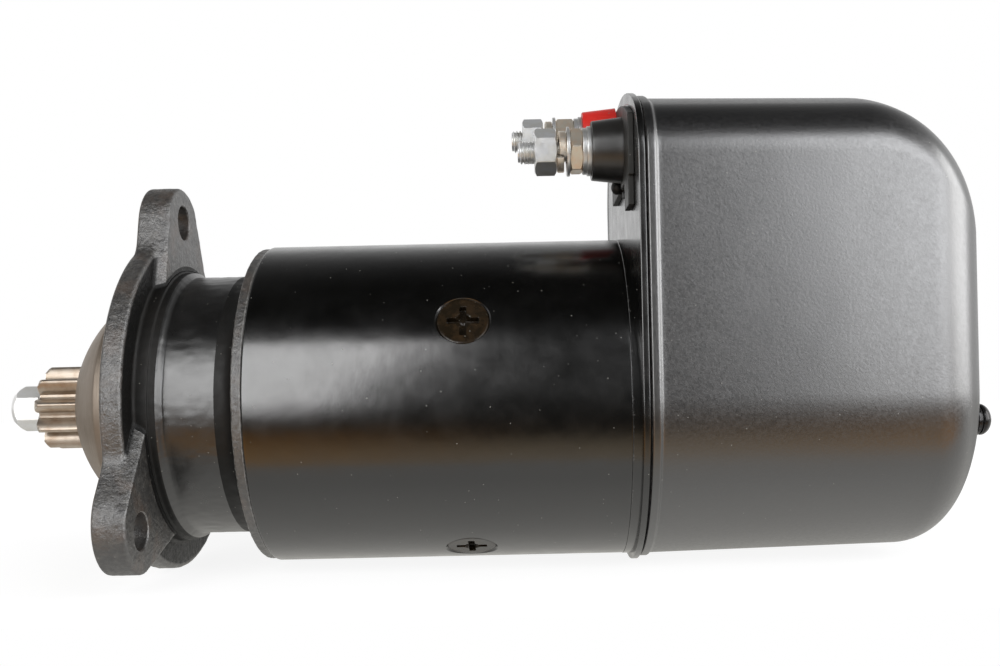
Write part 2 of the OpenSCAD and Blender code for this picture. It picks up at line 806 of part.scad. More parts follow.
module pinion_outline() {
    steps = 5;
    low_r = max(root_r, base_r);
    radii = [for (k = [0:steps]) low_r + (tip_r - low_r) * k / steps];
    points = [for (i = [0:teeth - 1]) let (mid = 180 - tooth_turn + 360 / teeth * i) each concat(
        [root_r * [cos(mid - half_tooth(low_r) - 1), sin(mid - half_tooth(low_r) - 1)]],
        [for (r = radii) r * [cos(mid - half_tooth(r)), sin(mid - half_tooth(r))]],
        [for (k = [0:steps]) let (r = radii[steps - k])
            r * [cos(mid + half_tooth(r)), sin(mid + half_tooth(r))]],
        [root_r * [cos(mid + half_tooth(low_r) + 1), sin(mid + half_tooth(low_r) + 1)]])];
    polygon(points);
}

module pinion() {
    color("#b9b2a6") difference() {
        intersection() {
            slab_x(pinion_x, pinion_len) pinion_outline();
            turned([[0, pinion_x], [tip_r - tooth_chamfer, pinion_x],
                [tip_r + cut, pinion_x + tooth_chamfer + cut],
                [tip_r + cut, pinion_back_x], [0, pinion_back_x]]);
        }
        bar_x(pinion_x - cut, pinion_len + 2 * cut, pinion_bore_r + fit);
        key_slot(fit);
    }
}

// Space of the key that locks the pinion to its shaft.
module key_slot(gap) {
    translate([pinion_back_x - key_len - key_setback - gap, -key_w / 2 - gap, pinion_bore_r - key_sink - gap])
        cube([key_len + 2 * gap, key_w + 2 * gap, key_h + 2 * gap]);
}

module pinion_key() {
    color("#7d8085") key_slot(0);
}

module pinion_shaft() {
    tail_r = shaft_bore_r - fit;
    color("#c2c4c7") difference() {
        union() {
            bar_x(pinion_nut_x + edge, pinion_back_x - pinion_nut_x, pinion_thread_r);
            bar_x(pinion_x + fit, pinion_len, pinion_bore_r);
            bar_x(pinion_back_x, pinion_tail_x - pinion_back_x, pinion_shaft_r);
            bar_x(pinion_tail_x - cut, pinion_end_x - pinion_tail_x + cut, tail_r);
        }
        key_slot(fit);
    }
}

module pinion_washer() {
    color("#c9cbce") tube_x(pinion_x - pinion_washer_t, pinion_washer_t, pinion_nut_af / 2 + edge,
        pinion_thread_r + fit);
}

module pinion_nut() {
    corner_r = pinion_nut_af / sqrt(3);
    face_r = pinion_nut_af / 2 - 1.6;
    cone = pinion_nut_len / 4;
    color("#d9dadb") difference() {
        intersection() {
            hex_x(pinion_nut_x, pinion_nut_len, pinion_nut_af);
            turned([[0, pinion_nut_x], [face_r, pinion_nut_x], [corner_r + edge, pinion_nut_x + cone],
                [corner_r + edge, pinion_x], [0, pinion_x]]);
        }
        bar_x(pinion_nut_x - cut, pinion_nut_len + 2 * cut, pinion_thread_r + fit);
    }
}

// Engaging solenoid

module solenoid_case() {
    color("#55585c") difference() {
        bar_x(solenoid_x, solenoid_len, solenoid_r);
        bar_x(solenoid_x - cut, solenoid_len, rod_hole_r);
        bar_x(solenoid_x + solenoid_front_t, solenoid_len, solenoid_r - solenoid_wall);
    }
}

module solenoid_end_plate() {
    color("#6a6d71") tube_x(solenoid_end_x, end_plate_t, solenoid_r, sleeve_out_r + fit);
}

module solenoid_coil() {
    color("#8a4a22") tube_x(solenoid_x + solenoid_front_t + coil_gap,
        solenoid_len - solenoid_front_t - 2 * coil_gap, solenoid_r - solenoid_wall - clear,
        sleeve_out_r + fit);
}

module solenoid_core() {
    color("#7b7e82") tube_x(solenoid_x + solenoid_front_t + fit, stop_len - fit, plunger_r, rod_hole_r);
}

module plunger_sleeve() {
    color("#b08d57") tube_x(solenoid_x + solenoid_front_t + coil_gap,
        solenoid_len - solenoid_front_t - coil_gap + end_plate_t, sleeve_out_r, plunger_r + running);
}

module plunger() {
    color("#b4b6b9") difference() {
        bar_x(plunger_x, plunger_end_x - plunger_x, plunger_r);
        bar_x(plunger_x - cut, rod_socket + cut, rod_r + fit);
    }
}

module engaging_rod() {
    rod_x = pinion_end_x + clear;
    color("#c2c4c7") bar_x(rod_x, plunger_x + rod_socket - rod_x, rod_r);
}

module return_spring() {
    spring_r = rod_r + wall;
    wire = 2;
    color("#b9bcc0") tube_x(stop_x + fit, plunger_x - stop_x - 2 * fit, spring_r, spring_r - wire);
}

// Control relay

// Moves a piece from the motor's axis to the relay's axis.
module on_relay() {
    translate([0, relay_y, relay_z]) children();
}

module relay_bracket() {
    color("#6d6f72") difference() {
        translate([relay_x + bracket_inset, relay_y - bracket_half_w, 0])
            cube([relay_len - 2 * bracket_inset, 2 * bracket_half_w, relay_z]);
        bar_x(relay_x, relay_len, solenoid_r + fit);
        on_relay() bar_x(relay_x, relay_len, relay_r + fit);
    }
}

module relay_case() {
    color("#3c3f42") on_relay() difference() {
        bar_x(relay_x, relay_len, relay_r);
        bar_x(relay_x + relay_wall, relay_len - 2 * relay_wall, relay_r - relay_wall);
        bar_x(relay_x - cut, relay_len + 2 * cut, relay_rod_r + clear);
    }
}

module relay_coil() {
    inset = relay_wall + coil_gap;
    color("#8a4a22") on_relay()
        tube_x(relay_x + inset, relay_len - 2 * inset, relay_r - inset, relay_rod_r + 2);
}

module relay_armature() {
    rod_x = bridge_x + bridge_t;
    disc_x = relay_x + relay_len + relay_disc_gap;
    color("#b4b6b9") on_relay() {
        bar_x(rod_x, disc_x - rod_x + cut, relay_rod_r);
        bar_x(disc_x, relay_disc_t, relay_r - wall);
    }
}

module relay_spring() {
    color("#b9bcc0") on_relay() tube_x(bridge_x + bridge_t + fit, relay_gap - 2 * fit,
        relay_rod_r + 2.5, relay_rod_r + edge);
}

module contact_bridge() {
    color("#b87545") {
        for (p = [[motor_post_y, motor_post_z], [battery_post_y, battery_post_z], [relay_y, relay_z]])
            translate([0, p[0], p[1]]) bar_x(bridge_x, bridge_t, bridge_pad_r);
        for (p = [[motor_post_y, motor_post_z], [battery_post_y, battery_post_z]])
            let (dy = p[0] - relay_y, dz = p[1] - relay_z)
                slab_x(bridge_x, bridge_t) translate([relay_y, relay_z]) rotate(atan2(dz, dy))
                    translate([0, -bridge_w / 2]) square([sqrt(dy * dy + dz * dz), bridge_w]);
    }
}

module field_strap() {
    ring_r = strap_w;
    color("#b87545") difference() {
        union() {
            translate([strap_x, strap_y - strap_w / 2, strap_foot_z])
                cube([strap_t, strap_w, motor_post_z - strap_foot_z]);
            on_motor_post() bar_x(strap_x, strap_t, ring_r);
            translate([strap_tip_x, strap_y - strap_w / 2, strap_foot_z])
                cube([strap_x + strap_t - strap_tip_x, strap_w, strap_foot_t]);
        }
        on_motor_post() bar_x(strap_x - cut, strap_t + 2 * cut, shank_r + fit);
    }
}

// Rear cap

// How far the cap has drawn in, at x behind its mouth, on a rounding of given length and drop.
function draw_in(x, len, drop) = cap_draft * x
    + drop * (1 - sqrt(max(0, 1 - pow(max(0, x - cap_len + len) / len, 2))));

// Closed body of the cap's outer or inner surface.
module cap_body(inset) {
    turns = 9;
    leaf = 0.1;
    long = max(crown_fall_len, cap_rear_r);
    stations = concat([0], [for (i = [0:turns]) cap_len - long + long * sin(90 * i / turns) - leaf]);
    hull() for (x = stations) let (
        side = draw_in(x, cap_rear_r, cap_rear_r),
        crown = draw_in(x, crown_fall_len, crown_fall))
        slab_x(cap_x + x - (x > 0 ? inset : 0), leaf)
            cap_outline(min(side + inset, cap_corner_r - 1), crown - side, $fn = 48);
}

module rear_cap() {
    color("#1b1b1b") difference() {
        union() {
            cap_body(0);
            slab_x(cap_x, cap_lip_len) cap_outline(-cap_lip_h);
        }
        cap_body(cap_wall);
        slab_x(cap_x - cut, 2 * cut) cap_outline(cap_wall);
        for (side = [-1, 1]) translate([0, side * cap_stud_y, cap_stud_z])
            bar_x(cap_end_x - cap_wall - 10, cap_wall + 20, cap_stud_r + fit);
    }
}

module cap_gasket() {
    color("#0d0d0d") slab_x(seam_x, gasket_t) difference() {
        cap_outline(-cap_lip_h);
        cap_outline(cap_wall + 1.5);
    }
}

module cap_studs() {
    stud_x = yoke_end_x + cap_stud_foot;
    stud_end_x = cap_end_x + cap_washer_t + cap_nut_h - cap_nut_crown - coil_gap;
    color("#9a9da1") for (side = [-1, 1]) translate([0, side * cap_stud_y, cap_stud_z])
        bar_x(stud_x, stud_end_x - stud_x, cap_stud_r);
}

module cap_washers() {
    color("#232323") for (side = [-1, 1]) translate([0, side * cap_stud_y, cap_stud_z])
        tube_x(cap_end_x, cap_washer_t, cap_nut_r, cap_stud_r + fit);
}

module cap_nuts() {
    x = cap_end_x + cap_washer_t;
    base_h = 1.6;
    steps = 8;
    dome = [for (i = [0:steps - 1]) let (a = 90 * i / steps)
        [cap_nut_r * cos(a), x + base_h + (cap_nut_h - base_h) * sin(a)]];
    color("#0f0f0f") for (side = [-1, 1]) translate([0, side * cap_stud_y, cap_stud_z]) difference() {
        turned(concat([[0, x], [cap_nut_r, x]], dome, [[0, x + cap_nut_h]]));
        bar_x(x - cut, cap_nut_h - cap_nut_crown + cut, cap_stud_r + fit);
    }
}

// Terminals

// Moves a piece from the motor's axis to a terminal's axis.
module on_motor_post() {
    translate([0, motor_post_y, motor_post_z]) children();
}

module on_battery_post() {
    translate([0, battery_post_y, battery_post_z]) children();
}

module terminal_base() {
    margin = 2;
    side_y = motor_post_y - 2 * insulator_r;
    low_z = motor_post_z - insulator_r - margin;
    foot_z = low_z - base_foot_h;
    color("#191919") difference() {
        slab_x(base_x, base_plate_t) intersection() {
            cap_outline(border_w - shield_margin + coil_gap);
            union() {
                translate([side_y, low_z])
                    square([battery_post_y + insulator_r + margin - side_y, cap_top_z - low_z]);
                translate([side_y + margin, foot_z]) square([base_foot_w, low_z - foot_z + cut]);
            }
        }
        on_motor_post() bar_x(base_x - cut, base_plate_t + 2 * cut, post_r + fit);
        on_battery_post() bar_x(base_x - cut, base_plate_t + 2 * cut, post_r + fit);
        translate([0, plug_y, plug_z])
            bar_x(base_x - cut, base_plate_t + 2 * cut, plug_r + plug_flange_w + plug_gap);
    }
}

// Tapered insulator round a terminal stud.
module insulator(len) {
    difference() {
        along_x(base_x - len) cylinder(r1 = insulator_front_r, r2 = insulator_r, h = len);
        bar_x(base_x - len - cut, len + 2 * cut, post_r + fit);
    }
}

module battery_insulator() {
    color("#c4181c") on_battery_post() insulator(insulator_len + battery_lift);
}

module motor_insulator() {
    color("#1a1a1a") on_motor_post() insulator(insulator_len);
}

// Front ends of the hardware stacked on an insulator that is lift longer, with a lock nut of thickness lock_t
function lower_washer_x(lift) = base_x - insulator_len - lift - flat_washer_t;
function collar_x(lift) = lower_washer_x(lift) - flat_washer_t;
function lock_nut_x(lift, lock_t) = collar_x(lift) - lock_t;
function thin_washer_x(lift, lock_t) = lock_nut_x(lift, lock_t) - thin_washer_t;
function spring_washer_x(lift, lock_t) = thin_washer_x(lift, lock_t) - spring_washer_t;
function top_nut_x(lift, lock_t) = spring_washer_x(lift, lock_t) - top_nut_t;

// Headed terminal stud whose threaded end stands out of the top nut at nut_x.
module post(nut_x, tip) {
    bevel = 1;
    stud_x = nut_x - tip;
    turned([[0, stud_x], [post_r - bevel, stud_x], [post_r, stud_x + bevel], [post_r, nut_x],
        [shank_r, nut_x], [shank_r, post_head_x], [post_head_r, post_head_x],
        [post_head_r, post_head_x + post_head_t], [0, post_head_x + post_head_t]]);
}

module battery_post() {
    color("#c8b98a") on_battery_post() post(top_nut_x(battery_lift, battery_lock_t), battery_tip);
}

module motor_post() {
    color("#c9cbce") on_motor_post() post(top_nut_x(0, motor_lock_t), motor_tip);
}

// Hexagonal nut with both faces bevelled.
module hex_nut(x, len) {
    corner_r = post_nut_af / sqrt(3);
    bevel = corner_r - post_nut_af / 2;
    difference() {
        intersection() {
            hex_x(x, len, post_nut_af);
            turned([[0, x], [post_nut_af / 2, x], [corner_r, x + bevel], [corner_r, x + len - bevel],
                [post_nut_af / 2, x + len], [0, x + len]]);
        }
        bar_x(x - cut, len + 2 * cut, shank_r + fit);
    }
}

module nut_pair(lift, lock_t) {
    hex_nut(lock_nut_x(lift, lock_t), lock_t);
    hex_nut(top_nut_x(lift, lock_t), top_nut_t);
}

module terminal_nuts() {
    color("#d0d2d4") {
        on_battery_post() nut_pair(battery_lift, battery_lock_t);
        on_motor_post() nut_pair(0, motor_lock_t);
    }
}

module flat_washers(lift, lock_t) {
    collar_r = flat_washer_r - 0.6;
    tube_x(lower_washer_x(lift), flat_washer_t, flat_washer_r, post_r + fit);
    tube_x(collar_x(lift), flat_washer_t, collar_r, post_r + fit);
    tube_x(thin_washer_x(lift, lock_t), thin_washer_t, flat_washer_r, post_r + fit);
}

module terminal_washers() {
    color("#d6d7d8") {
        on_battery_post() flat_washers(battery_lift, battery_lock_t);
        on_motor_post() flat_washers(0, motor_lock_t);
    }
}

module split_washer(x) {
    split_w = 1.6;
    difference() {
        tube_x(x, spring_washer_t, post_nut_af / 2, post_r + fit);
        translate([x - cut, -post_nut_af, 0])
            rotate([0, 0, -20]) cube([3 * spring_washer_t, post_nut_af, split_w]);
    }
}

module spring_washers() {
    color("#cfc9a8") {
        on_battery_post() split_washer(spring_washer_x(battery_lift, battery_lock_t));
        on_motor_post() split_washer(spring_washer_x(0, motor_lock_t));
    }
}

module control_plug() {
    flange_t = 1;
    color("#101010") translate([0, plug_y, plug_z]) {
        bar_x(face_x - flange_t, flange_t, plug_r + plug_flange_w);
        bar_x(face_x, shield_t, plug_r);
    }
}

drive_housing();
shaft_seal();
nose_bush();
drive_bearing();
yoke();
pole_shoes();
pole_screws();
field_coils();
through_bolts();
end_shield();
rear_bush();
brush_plate();
brush_holders();
brush(0);  // brush_1
brush(1);  // brush_2
brush(2);  // brush_3
brush(3);  // brush_4
brush_springs();
armature_shaft();
armature_core();
armature_winding();
commutator();
clutch_basket();
clutch_plates();
clutch_hub();
clutch_spring();
pinion_shaft();
pinion();
pinion_key();
pinion_washer();
pinion_nut();
solenoid_case();
solenoid_end_plate();
solenoid_coil();
solenoid_core();
plunger_sleeve();
plunger();
engaging_rod();
return_spring();
relay_bracket();
relay_case();
relay_coil();
relay_armature();
relay_spring();
contact_bridge();
field_strap();
rear_cap();
cap_gasket();
cap_studs();
cap_washers();
cap_nuts();
terminal_base();
battery_insulator();
motor_insulator();
battery_post();
motor_post();
terminal_nuts();
terminal_washers();
spring_washers();
control_plug();
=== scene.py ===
"""Dressed model of a heavy-duty starter motor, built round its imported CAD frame.

Sizes in the classes are millimetres in the CAD frame: X along the turning axis with the
pinion towards -X, Z up, and the camera on the -Y side. Angles round the axis are counted
from -Y, positive towards +Z.
"""

import sys
import json
import logging
import math
from collections.abc import Callable, Iterator, Sequence
from contextlib import contextmanager
from dataclasses import dataclass
from enum import Enum

import bpy
import numpy as np
from mathutils import Matrix, Vector


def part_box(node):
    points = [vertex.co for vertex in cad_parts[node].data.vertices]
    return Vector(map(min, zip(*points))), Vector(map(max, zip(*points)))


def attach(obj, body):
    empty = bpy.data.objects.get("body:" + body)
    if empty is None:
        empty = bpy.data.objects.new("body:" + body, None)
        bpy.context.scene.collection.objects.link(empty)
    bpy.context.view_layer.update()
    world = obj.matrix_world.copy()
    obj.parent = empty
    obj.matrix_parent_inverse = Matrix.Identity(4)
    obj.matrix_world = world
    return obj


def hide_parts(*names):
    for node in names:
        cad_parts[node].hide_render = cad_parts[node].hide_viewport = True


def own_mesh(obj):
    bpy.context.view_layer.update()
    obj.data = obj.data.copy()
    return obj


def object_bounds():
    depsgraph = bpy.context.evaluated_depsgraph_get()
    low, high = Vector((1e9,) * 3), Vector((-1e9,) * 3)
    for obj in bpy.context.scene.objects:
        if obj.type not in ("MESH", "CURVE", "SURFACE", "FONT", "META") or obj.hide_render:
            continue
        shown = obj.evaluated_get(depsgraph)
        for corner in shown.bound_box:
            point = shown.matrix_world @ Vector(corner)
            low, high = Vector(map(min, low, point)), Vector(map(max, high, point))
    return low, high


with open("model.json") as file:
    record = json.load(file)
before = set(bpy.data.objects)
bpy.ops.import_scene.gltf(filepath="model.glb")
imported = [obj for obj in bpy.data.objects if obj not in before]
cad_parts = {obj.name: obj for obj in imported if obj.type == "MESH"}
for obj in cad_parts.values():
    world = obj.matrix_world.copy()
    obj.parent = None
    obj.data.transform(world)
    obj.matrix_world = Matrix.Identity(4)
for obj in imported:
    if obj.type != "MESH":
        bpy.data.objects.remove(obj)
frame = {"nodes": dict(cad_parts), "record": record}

CAD_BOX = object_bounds()
MM = 0.001
MERGE = 0.002 * MM
LOG = logging.getLogger("starter_motor")

Colour = tuple[float, float, float]
Place = tuple[float, float, float]
Point = tuple[float, float]
Piece = bpy.types.Object
Socket = bpy.types.NodeSocket


def rgba(colour: Colour) -> tuple[float, float, float, float]:
    """The colour with full opacity."""
    return (*colour, 1.0)


def grey(level: float) -> Colour:
    """The neutral colour of a level."""
    return (level, level, level)


def steps(first: float, last: float, count: int) -> list[float]:
    """Evenly spaced values from first to last, both included."""
    return [float(v) for v in np.linspace(first, last, count)]


def arc(x: float, r: float, radius: float, first: float, last: float, count: int) -> list[Point]:
    """Points of an arc in a profile's (x, radius) plane.

    Args:
        x: Place of the arc's centre along the axis.
        r: Distance of the arc's centre from the axis.
        radius: Radius of the arc.
        first: Angle of the first point in degrees, counted from +X towards larger radii.
        last: Angle of the last point in degrees.
        count: Number of points.

    Returns:
        The points as (x, radius) pairs.
    """
    return [(x + radius * math.cos(a), r + radius * math.sin(a))
            for a in np.radians(steps(first, last, count))]


def soft_step(value: np.ndarray, low: float, high: float) -> np.ndarray:
    """Smooth step from 0 at low to 1 at high."""
    t = np.clip((value - low) / (high - low), 0.0, 1.0)
    return t * t * (3.0 - 2.0 * t)


def along(r: float, places: Sequence[float]) -> list[Point]:
    """Profile points at one radius."""
    return [(x, r) for x in places]


def across(x: float, radii: Sequence[float]) -> list[Point]:
    """Profile points at one place along the axis."""
    return [(x, r) for r in radii]


def polar(r: float, angle: float) -> Point:
    """Sideways place and height at a radius and an angle in degrees round the axis."""
    a = math.radians(angle)
    return -r * math.cos(a), r * math.sin(a)


class Blend(Enum):
    """Ways of joining two solids."""

    JOIN = "UNION"
    CUT = "DIFFERENCE"
    KEEP = "INTERSECT"


class Grain(Enum):
    """Directions of the fine lines that a tool leaves on metal."""

    NONE = (1.0, 1.0, 1.0)
    AXIAL = (0.04, 1.0, 1.0)
    ROUND = (1.0, 0.04, 0.04)


class NodeBoard:
    """Lays out the nodes of one material or world."""

    def __init__(self, tree: bpy.types.NodeTree, coordinates: str = "Object") -> None:
        """Starts on a node tree.

        Args:
            tree: Tree of the material or world.
            coordinates: Texture coordinates that place the patterns.
        """
        self.tree = tree
        self.shader = tree.nodes.get("Principled BSDF")
        self.place = tree.nodes.new("ShaderNodeTexCoord").outputs[coordinates]

    def add(self, kind: str, inputs: dict, **settings: object) -> bpy.types.Node:
        """Adds a node and fills its sockets.

        Args:
            kind: Blender's type name of the node.
            inputs: Values or sockets by socket name or number.
            **settings: Properties of the node.

        Returns:
            The node.
        """
        node = self.tree.nodes.new(kind)
        for key, value in settings.items():
            setattr(node, key, value)
        for key, value in inputs.items():
            if isinstance(value, Socket):
                self.tree.links.new(value, node.inputs[key])
            else:
                node.inputs[key].default_value = value
        return node

    def noise(self, scale: float, detail: float = 3.0, grain: Grain = Grain.NONE) -> Socket:
        """Noise, drawn out along a grain.

        Args:
            scale: Its scale per metre.
            detail: Steps of finer noise in it.
            grain: Direction of the grain.

        Returns:
            The noise, from 0 to 1.
        """
        where = self.place
        if grain is not Grain.NONE:
            where = self.add("ShaderNodeMapping", {"Vector": where, "Scale": grain.value}).outputs["Vector"]
        return self.add("ShaderNodeTexNoise", {
            "Vector": where, "Scale": scale, "Detail": detail, "Roughness": 0.6}).outputs["Fac"]

    def spread(self, value: Socket, low: float, high: float,
               to_low: float = 0.0, to_high: float = 1.0) -> Socket:
        """Maps one range of values onto another, clamped.

        Args:
            value: The value.
            low: Start of its range.
            high: End of its range.
            to_low: What the start becomes.
            to_high: What the end becomes.

        Returns:
            The mapped value.
        """
        return self.add("ShaderNodeMapRange", {
            "Value": value, "From Min": low, "From Max": high,
            "To Min": to_low, "To Max": to_high}).outputs["Result"]

    def sum(self, kind: str, first: Socket, second: object) -> Socket:
        """Result of a Math node of the given kind."""
        return self.add("ShaderNodeMath", {0: first, 1: second}, operation=kind).outputs[0]

    def mix(self, share: object, first: object, second: object) -> Socket:
        """Colour between first and second by share."""
        return self.add("ShaderNodeMix", {0: share, 6: first, 7: second}, data_type="RGBA").outputs[2]

    def axis(self, name: str) -> Socket:
        """The place along one axis."""
        return self.add("ShaderNodeSeparateXYZ", {0: self.place}).outputs[name]

    def ramp(self, share: Socket, stops: Sequence[tuple[float, Colour]]) -> Socket:
        """Colour that changes with a share.

        Args:
            share: Value from 0 to 1.
            stops: Shares and their colours, rising.

        Returns:
            The colour.
        """
        node = self.add("ShaderNodeValToRGB", {"Fac": share})
        while len(node.color_ramp.elements) < len(stops):
            node.color_ramp.elements.new(0.5)
        for element, (at, colour) in zip(node.color_ramp.elements, stops):
            element.position, element.color = at, rgba(colour)
        return node.outputs["Color"]

    def specks(self, scale: float, size: float, share: float) -> Socket:
        """Mask of scattered specks.

        Args:
            scale: Cells per metre.
            size: Radius of a speck as a share of its cell.
            share: Share of the cells that hold a speck.

        Returns:
            Socket that is 1 on a speck and 0 elsewhere.
        """
        cells = self.add("ShaderNodeTexVoronoi", {"Vector": self.place, "Scale": scale})
        chance = self.add("ShaderNodeSeparateColor", {"Color": cells.outputs["Color"]}).outputs["Red"]
        dot = self.spread(cells.outputs["Distance"], size, 0.5 * size)
        return self.sum("MULTIPLY", dot, self.sum("GREATER_THAN", chance, 1.0 - share))

    def wear(self, scale: float, low: float, high: float) -> Socket:
        """Mask of rubbed edges, from the mesh's own wear attribute broken up by noise."""
        edge = self.add("ShaderNodeAttribute", {}, attribute_name="wear").outputs["Fac"]
        return self.spread(self.sum("MULTIPLY", edge, self.noise(scale, 5.0)), low, high)

    def bump(self, height: Socket, depth: float,
             under: Socket | None = None) -> Socket:
        """Lays a relief over the surface or over another relief.

        Args:
            height: Height of the relief, from 0 to 1.
            depth: Its depth in metres.
            under: Normal of the relief below it.

        Returns:
            The normal.
        """
        inputs: dict = {"Height": height, "Distance": depth, "Strength": 1.0}
        if under is not None:
            inputs["Normal"] = under
        return self.add("ShaderNodeBump", inputs).outputs["Normal"]

    def link(self, socket: Socket, name: str) -> None:
        """Feeds a socket into the shader."""
        self.tree.links.new(socket, self.shader.inputs[name])

    def fix(self, **values: object) -> None:
        """Sets plain values on the shader's own sockets, with _ for spaces in their names."""
        for key, value in values.items():
            self.shader.inputs[key.replace("_", " ")].default_value = value


_MATERIALS: dict[str, bpy.types.Material] = {}


class Finish:
    """A finish that makes its material once and keeps it.

    Scales are per metre, depths are metres, and bands are the noise levels between which a pattern rises.
    """

    name: str

    def lay_out(self, board: NodeBoard) -> None:
        """Lays out the material's nodes."""
        raise NotImplementedError

    def material(self) -> bpy.types.Material:
        """Makes the finish's material on first use.

        Returns:
            The material.
        """
        if self.name not in _MATERIALS:
            made = _MATERIALS[self.name] = bpy.data.materials.new(self.name)
            made.use_nodes = True
            self.lay_out(NodeBoard(made.node_tree))
        return _MATERIALS[self.name]


@dataclass(frozen=True)
class Paint(Finish):
    """Sprayed black paint with orange peel, thin patches, dust and rubbed edges."""

    name: str
    shade: Colour = (0.0013, 0.0013, 0.0011)
    thin: Colour = (0.0032, 0.0031, 0.0027)
    dust: Colour = (0.22, 0.215, 0.19)
    rubbed: Colour = (0.34, 0.33, 0.31)
    gloss: float = 0.17
    dull: float = 0.25
    specular: float = 1.0
    ior: float = 1.6
    patch_scale: float = 24.0
    patch_band: Point = (0.45, 0.75)
    film_scale: float = 90.0
    film_band: Point = (0.3, 0.7)
    peel_scale: float = 800.0
    peel: float = 0.00001
    sag_scale: float = 60.0
    sag: float = 0.00012
    speck_scale: float = 520.0
    speck_share: float = 0.08
    speck_size: float = 0.14
    speck_dull: float = 0.35
    pit_scale: float = 0.0
    pit: float = 0.0
    rub_scale: float = 700.0
    rub_from: float = 0.3
    rub_width: float = 0.25

    def lay_out(self, board: NodeBoard) -> None:
        """Lays out the paint's nodes.

        Args:
            board: Board of the material.
        """
        patches = board.spread(board.noise(self.patch_scale, detail=5.0), *self.patch_band)
        colour = board.mix(patches, rgba(self.shade), rgba(self.thin))
        specks = board.specks(self.speck_scale, self.speck_size, self.speck_share)
        colour = board.mix(specks, colour, rgba(self.dust))
        rubbed = board.wear(self.rub_scale, self.rub_from, self.rub_from + self.rub_width)
        colour = self.aged_and_shaded(board, board.mix(rubbed, colour, rgba(self.rubbed)))
        film = board.spread(board.noise(self.film_scale, detail=6.0), *self.film_band, self.gloss, self.dull)
        film = board.sum("ADD", film, board.sum("MULTIPLY", specks, self.speck_dull))
        normal = board.bump(board.noise(self.sag_scale, detail=2.0), self.sag)
        normal = board.bump(board.noise(self.peel_scale, detail=2.0), self.peel, normal)
        if self.pit:
            normal = board.bump(board.noise(self.pit_scale, detail=6.0), self.pit, normal)
        board.link(colour, "Base Color")
        board.link(film, "Roughness")
        board.link(normal, "Normal")
        board.fix(Specular_IOR_Level=self.specular, IOR=self.ior)
        self.dulled(board)

    def aged_and_shaded(self, board: NodeBoard, colour: Socket) -> Socket:
        """The paint's colour after use and with painted shade; plain paint keeps it."""
        return colour

    def dulled(self, board: NodeBoard) -> None:
        """Takes the shine off where shade is painted; plain paint paints none."""


@dataclass(frozen=True)
class CastPaint(Paint):
    """Thin paint on a rough casting, rusty in patches, with painted shade, dark and dull, behind the flange's
    edge.

    The last three bands are millimetres from the web's rear face or edge, over which the painted shade
    fades out behind the lobes' pads, in towards the face and out towards the edge.
    """

    # Colour and shine of the painted shade on the web's rear face behind the flange's edge.
    painted_shade_colour: Colour = (0.004, 0.004, 0.0036)
    painted_shade_specular: float = 0.1
    rust: Colour = (0.085, 0.05, 0.03)
    rust_scale: float = 70.0
    rust_band: Point = (0.5, 0.75)
    rust_most: float = 0.7
    web_x: float = 8.6
    web_r: float = 73.7
    pad_band: Point = (1.5, 0.6)
    face_band: Point = (-1.4, -0.7)
    edge_band: Point = (-1.4, -2.4)

    def painted_shade_mask(self, board: NodeBoard) -> Socket:
        """Masks the painted shade on the flange's rear face between its edge and its lobes' pads.

        Args:
            board: Board of the material.

        Returns:
            Mask that is 1 where the shade is painted.
        """
        x = board.axis("X")
        flat = board.add("ShaderNodeVectorMath", {0: board.place, 1: (0.0, 1.0, 1.0)}, operation="MULTIPLY")
        reach = board.add("ShaderNodeVectorMath", {0: flat.outputs[0]}, operation="LENGTH").outputs["Value"]
        low, rear, inner = (
            board.spread(value, (start + first) * MM, (start + last) * MM)
            for value, start, (first, last) in (
                (x, self.web_x, self.pad_band), (x, self.web_x, self.face_band),
                (reach, self.web_r, self.edge_band)))
        return board.sum("MULTIPLY", board.sum("MULTIPLY", low, rear), inner)

    def aged_and_shaded(self, board: NodeBoard, colour: Socket) -> Socket:
        """Adds rust and painted shade to the paint's colour.

        Args:
            board: Board of the material.
            colour: The colour so far.

        Returns:
            The colour after use.
        """
        rusty = board.spread(board.noise(self.rust_scale, detail=6.0), *self.rust_band, 0.0, self.rust_most)
        rusted = board.mix(rusty, colour, rgba(self.rust))
        # Painted shade: darkens the web's rear face between its edge and the lobes' pads.
        return board.mix(self.painted_shade_mask(board), rusted, rgba(self.painted_shade_colour))

    def dulled(self, board: NodeBoard) -> None:
        """Takes the shine off the painted shade on the web's rear face."""
        shine = board.spread(self.painted_shade_mask(board), 0.0, 1.0, self.specular, self.painted_shade_specular)
        board.link(shine, "Specular IOR Level")


@dataclass(frozen=True)
class Metal(Finish):
    """Bare or plated metal with tool lines, a tinted film and bright edges."""

    name: str
    tone: Colour
    film: Colour
    smooth: float = 0.22
    rough: float = 0.36
    grain: Grain = Grain.NONE
    line_scale: float = 1500.0
    line: float = 0.000004
    film_scale: float = 120.0
    edge: Colour = (0.9, 0.9, 0.88)
    metallic: float = 1.0
    stain_band: Point = (0.4, 0.7)
    line_band: Point = (0.3, 0.7)
    rub_scale: float = 900.0
    rub_band: Point = (0.3, 0.6)

    def lay_out(self, board: NodeBoard) -> None:
        """Lays out the metal's nodes.

        Args:
            board: Board of the material.
        """
        stain = board.spread(board.noise(self.film_scale, detail=5.0), *self.stain_band)
        colour = board.mix(stain, rgba(self.tone), rgba(self.film))
        colour = board.mix(board.wear(self.rub_scale, *self.rub_band), colour, rgba(self.edge))
        lines = board.noise(self.line_scale, grain=self.grain)
        board.link(colour, "Base Color")
        board.link(board.spread(lines, *self.line_band, self.smooth, self.rough), "Roughness")
        board.link(board.bump(lines, self.line), "Normal")
        board.fix(Metallic=self.metallic)


@dataclass(frozen=True)
class Plating(Metal):
    """Zinc plate with a fine, even skin."""

    smooth: float = 0.3
    rough: float = 0.42
    line_scale: float = 500.0
    line: float = 0.000003
    metallic: float = 0.75


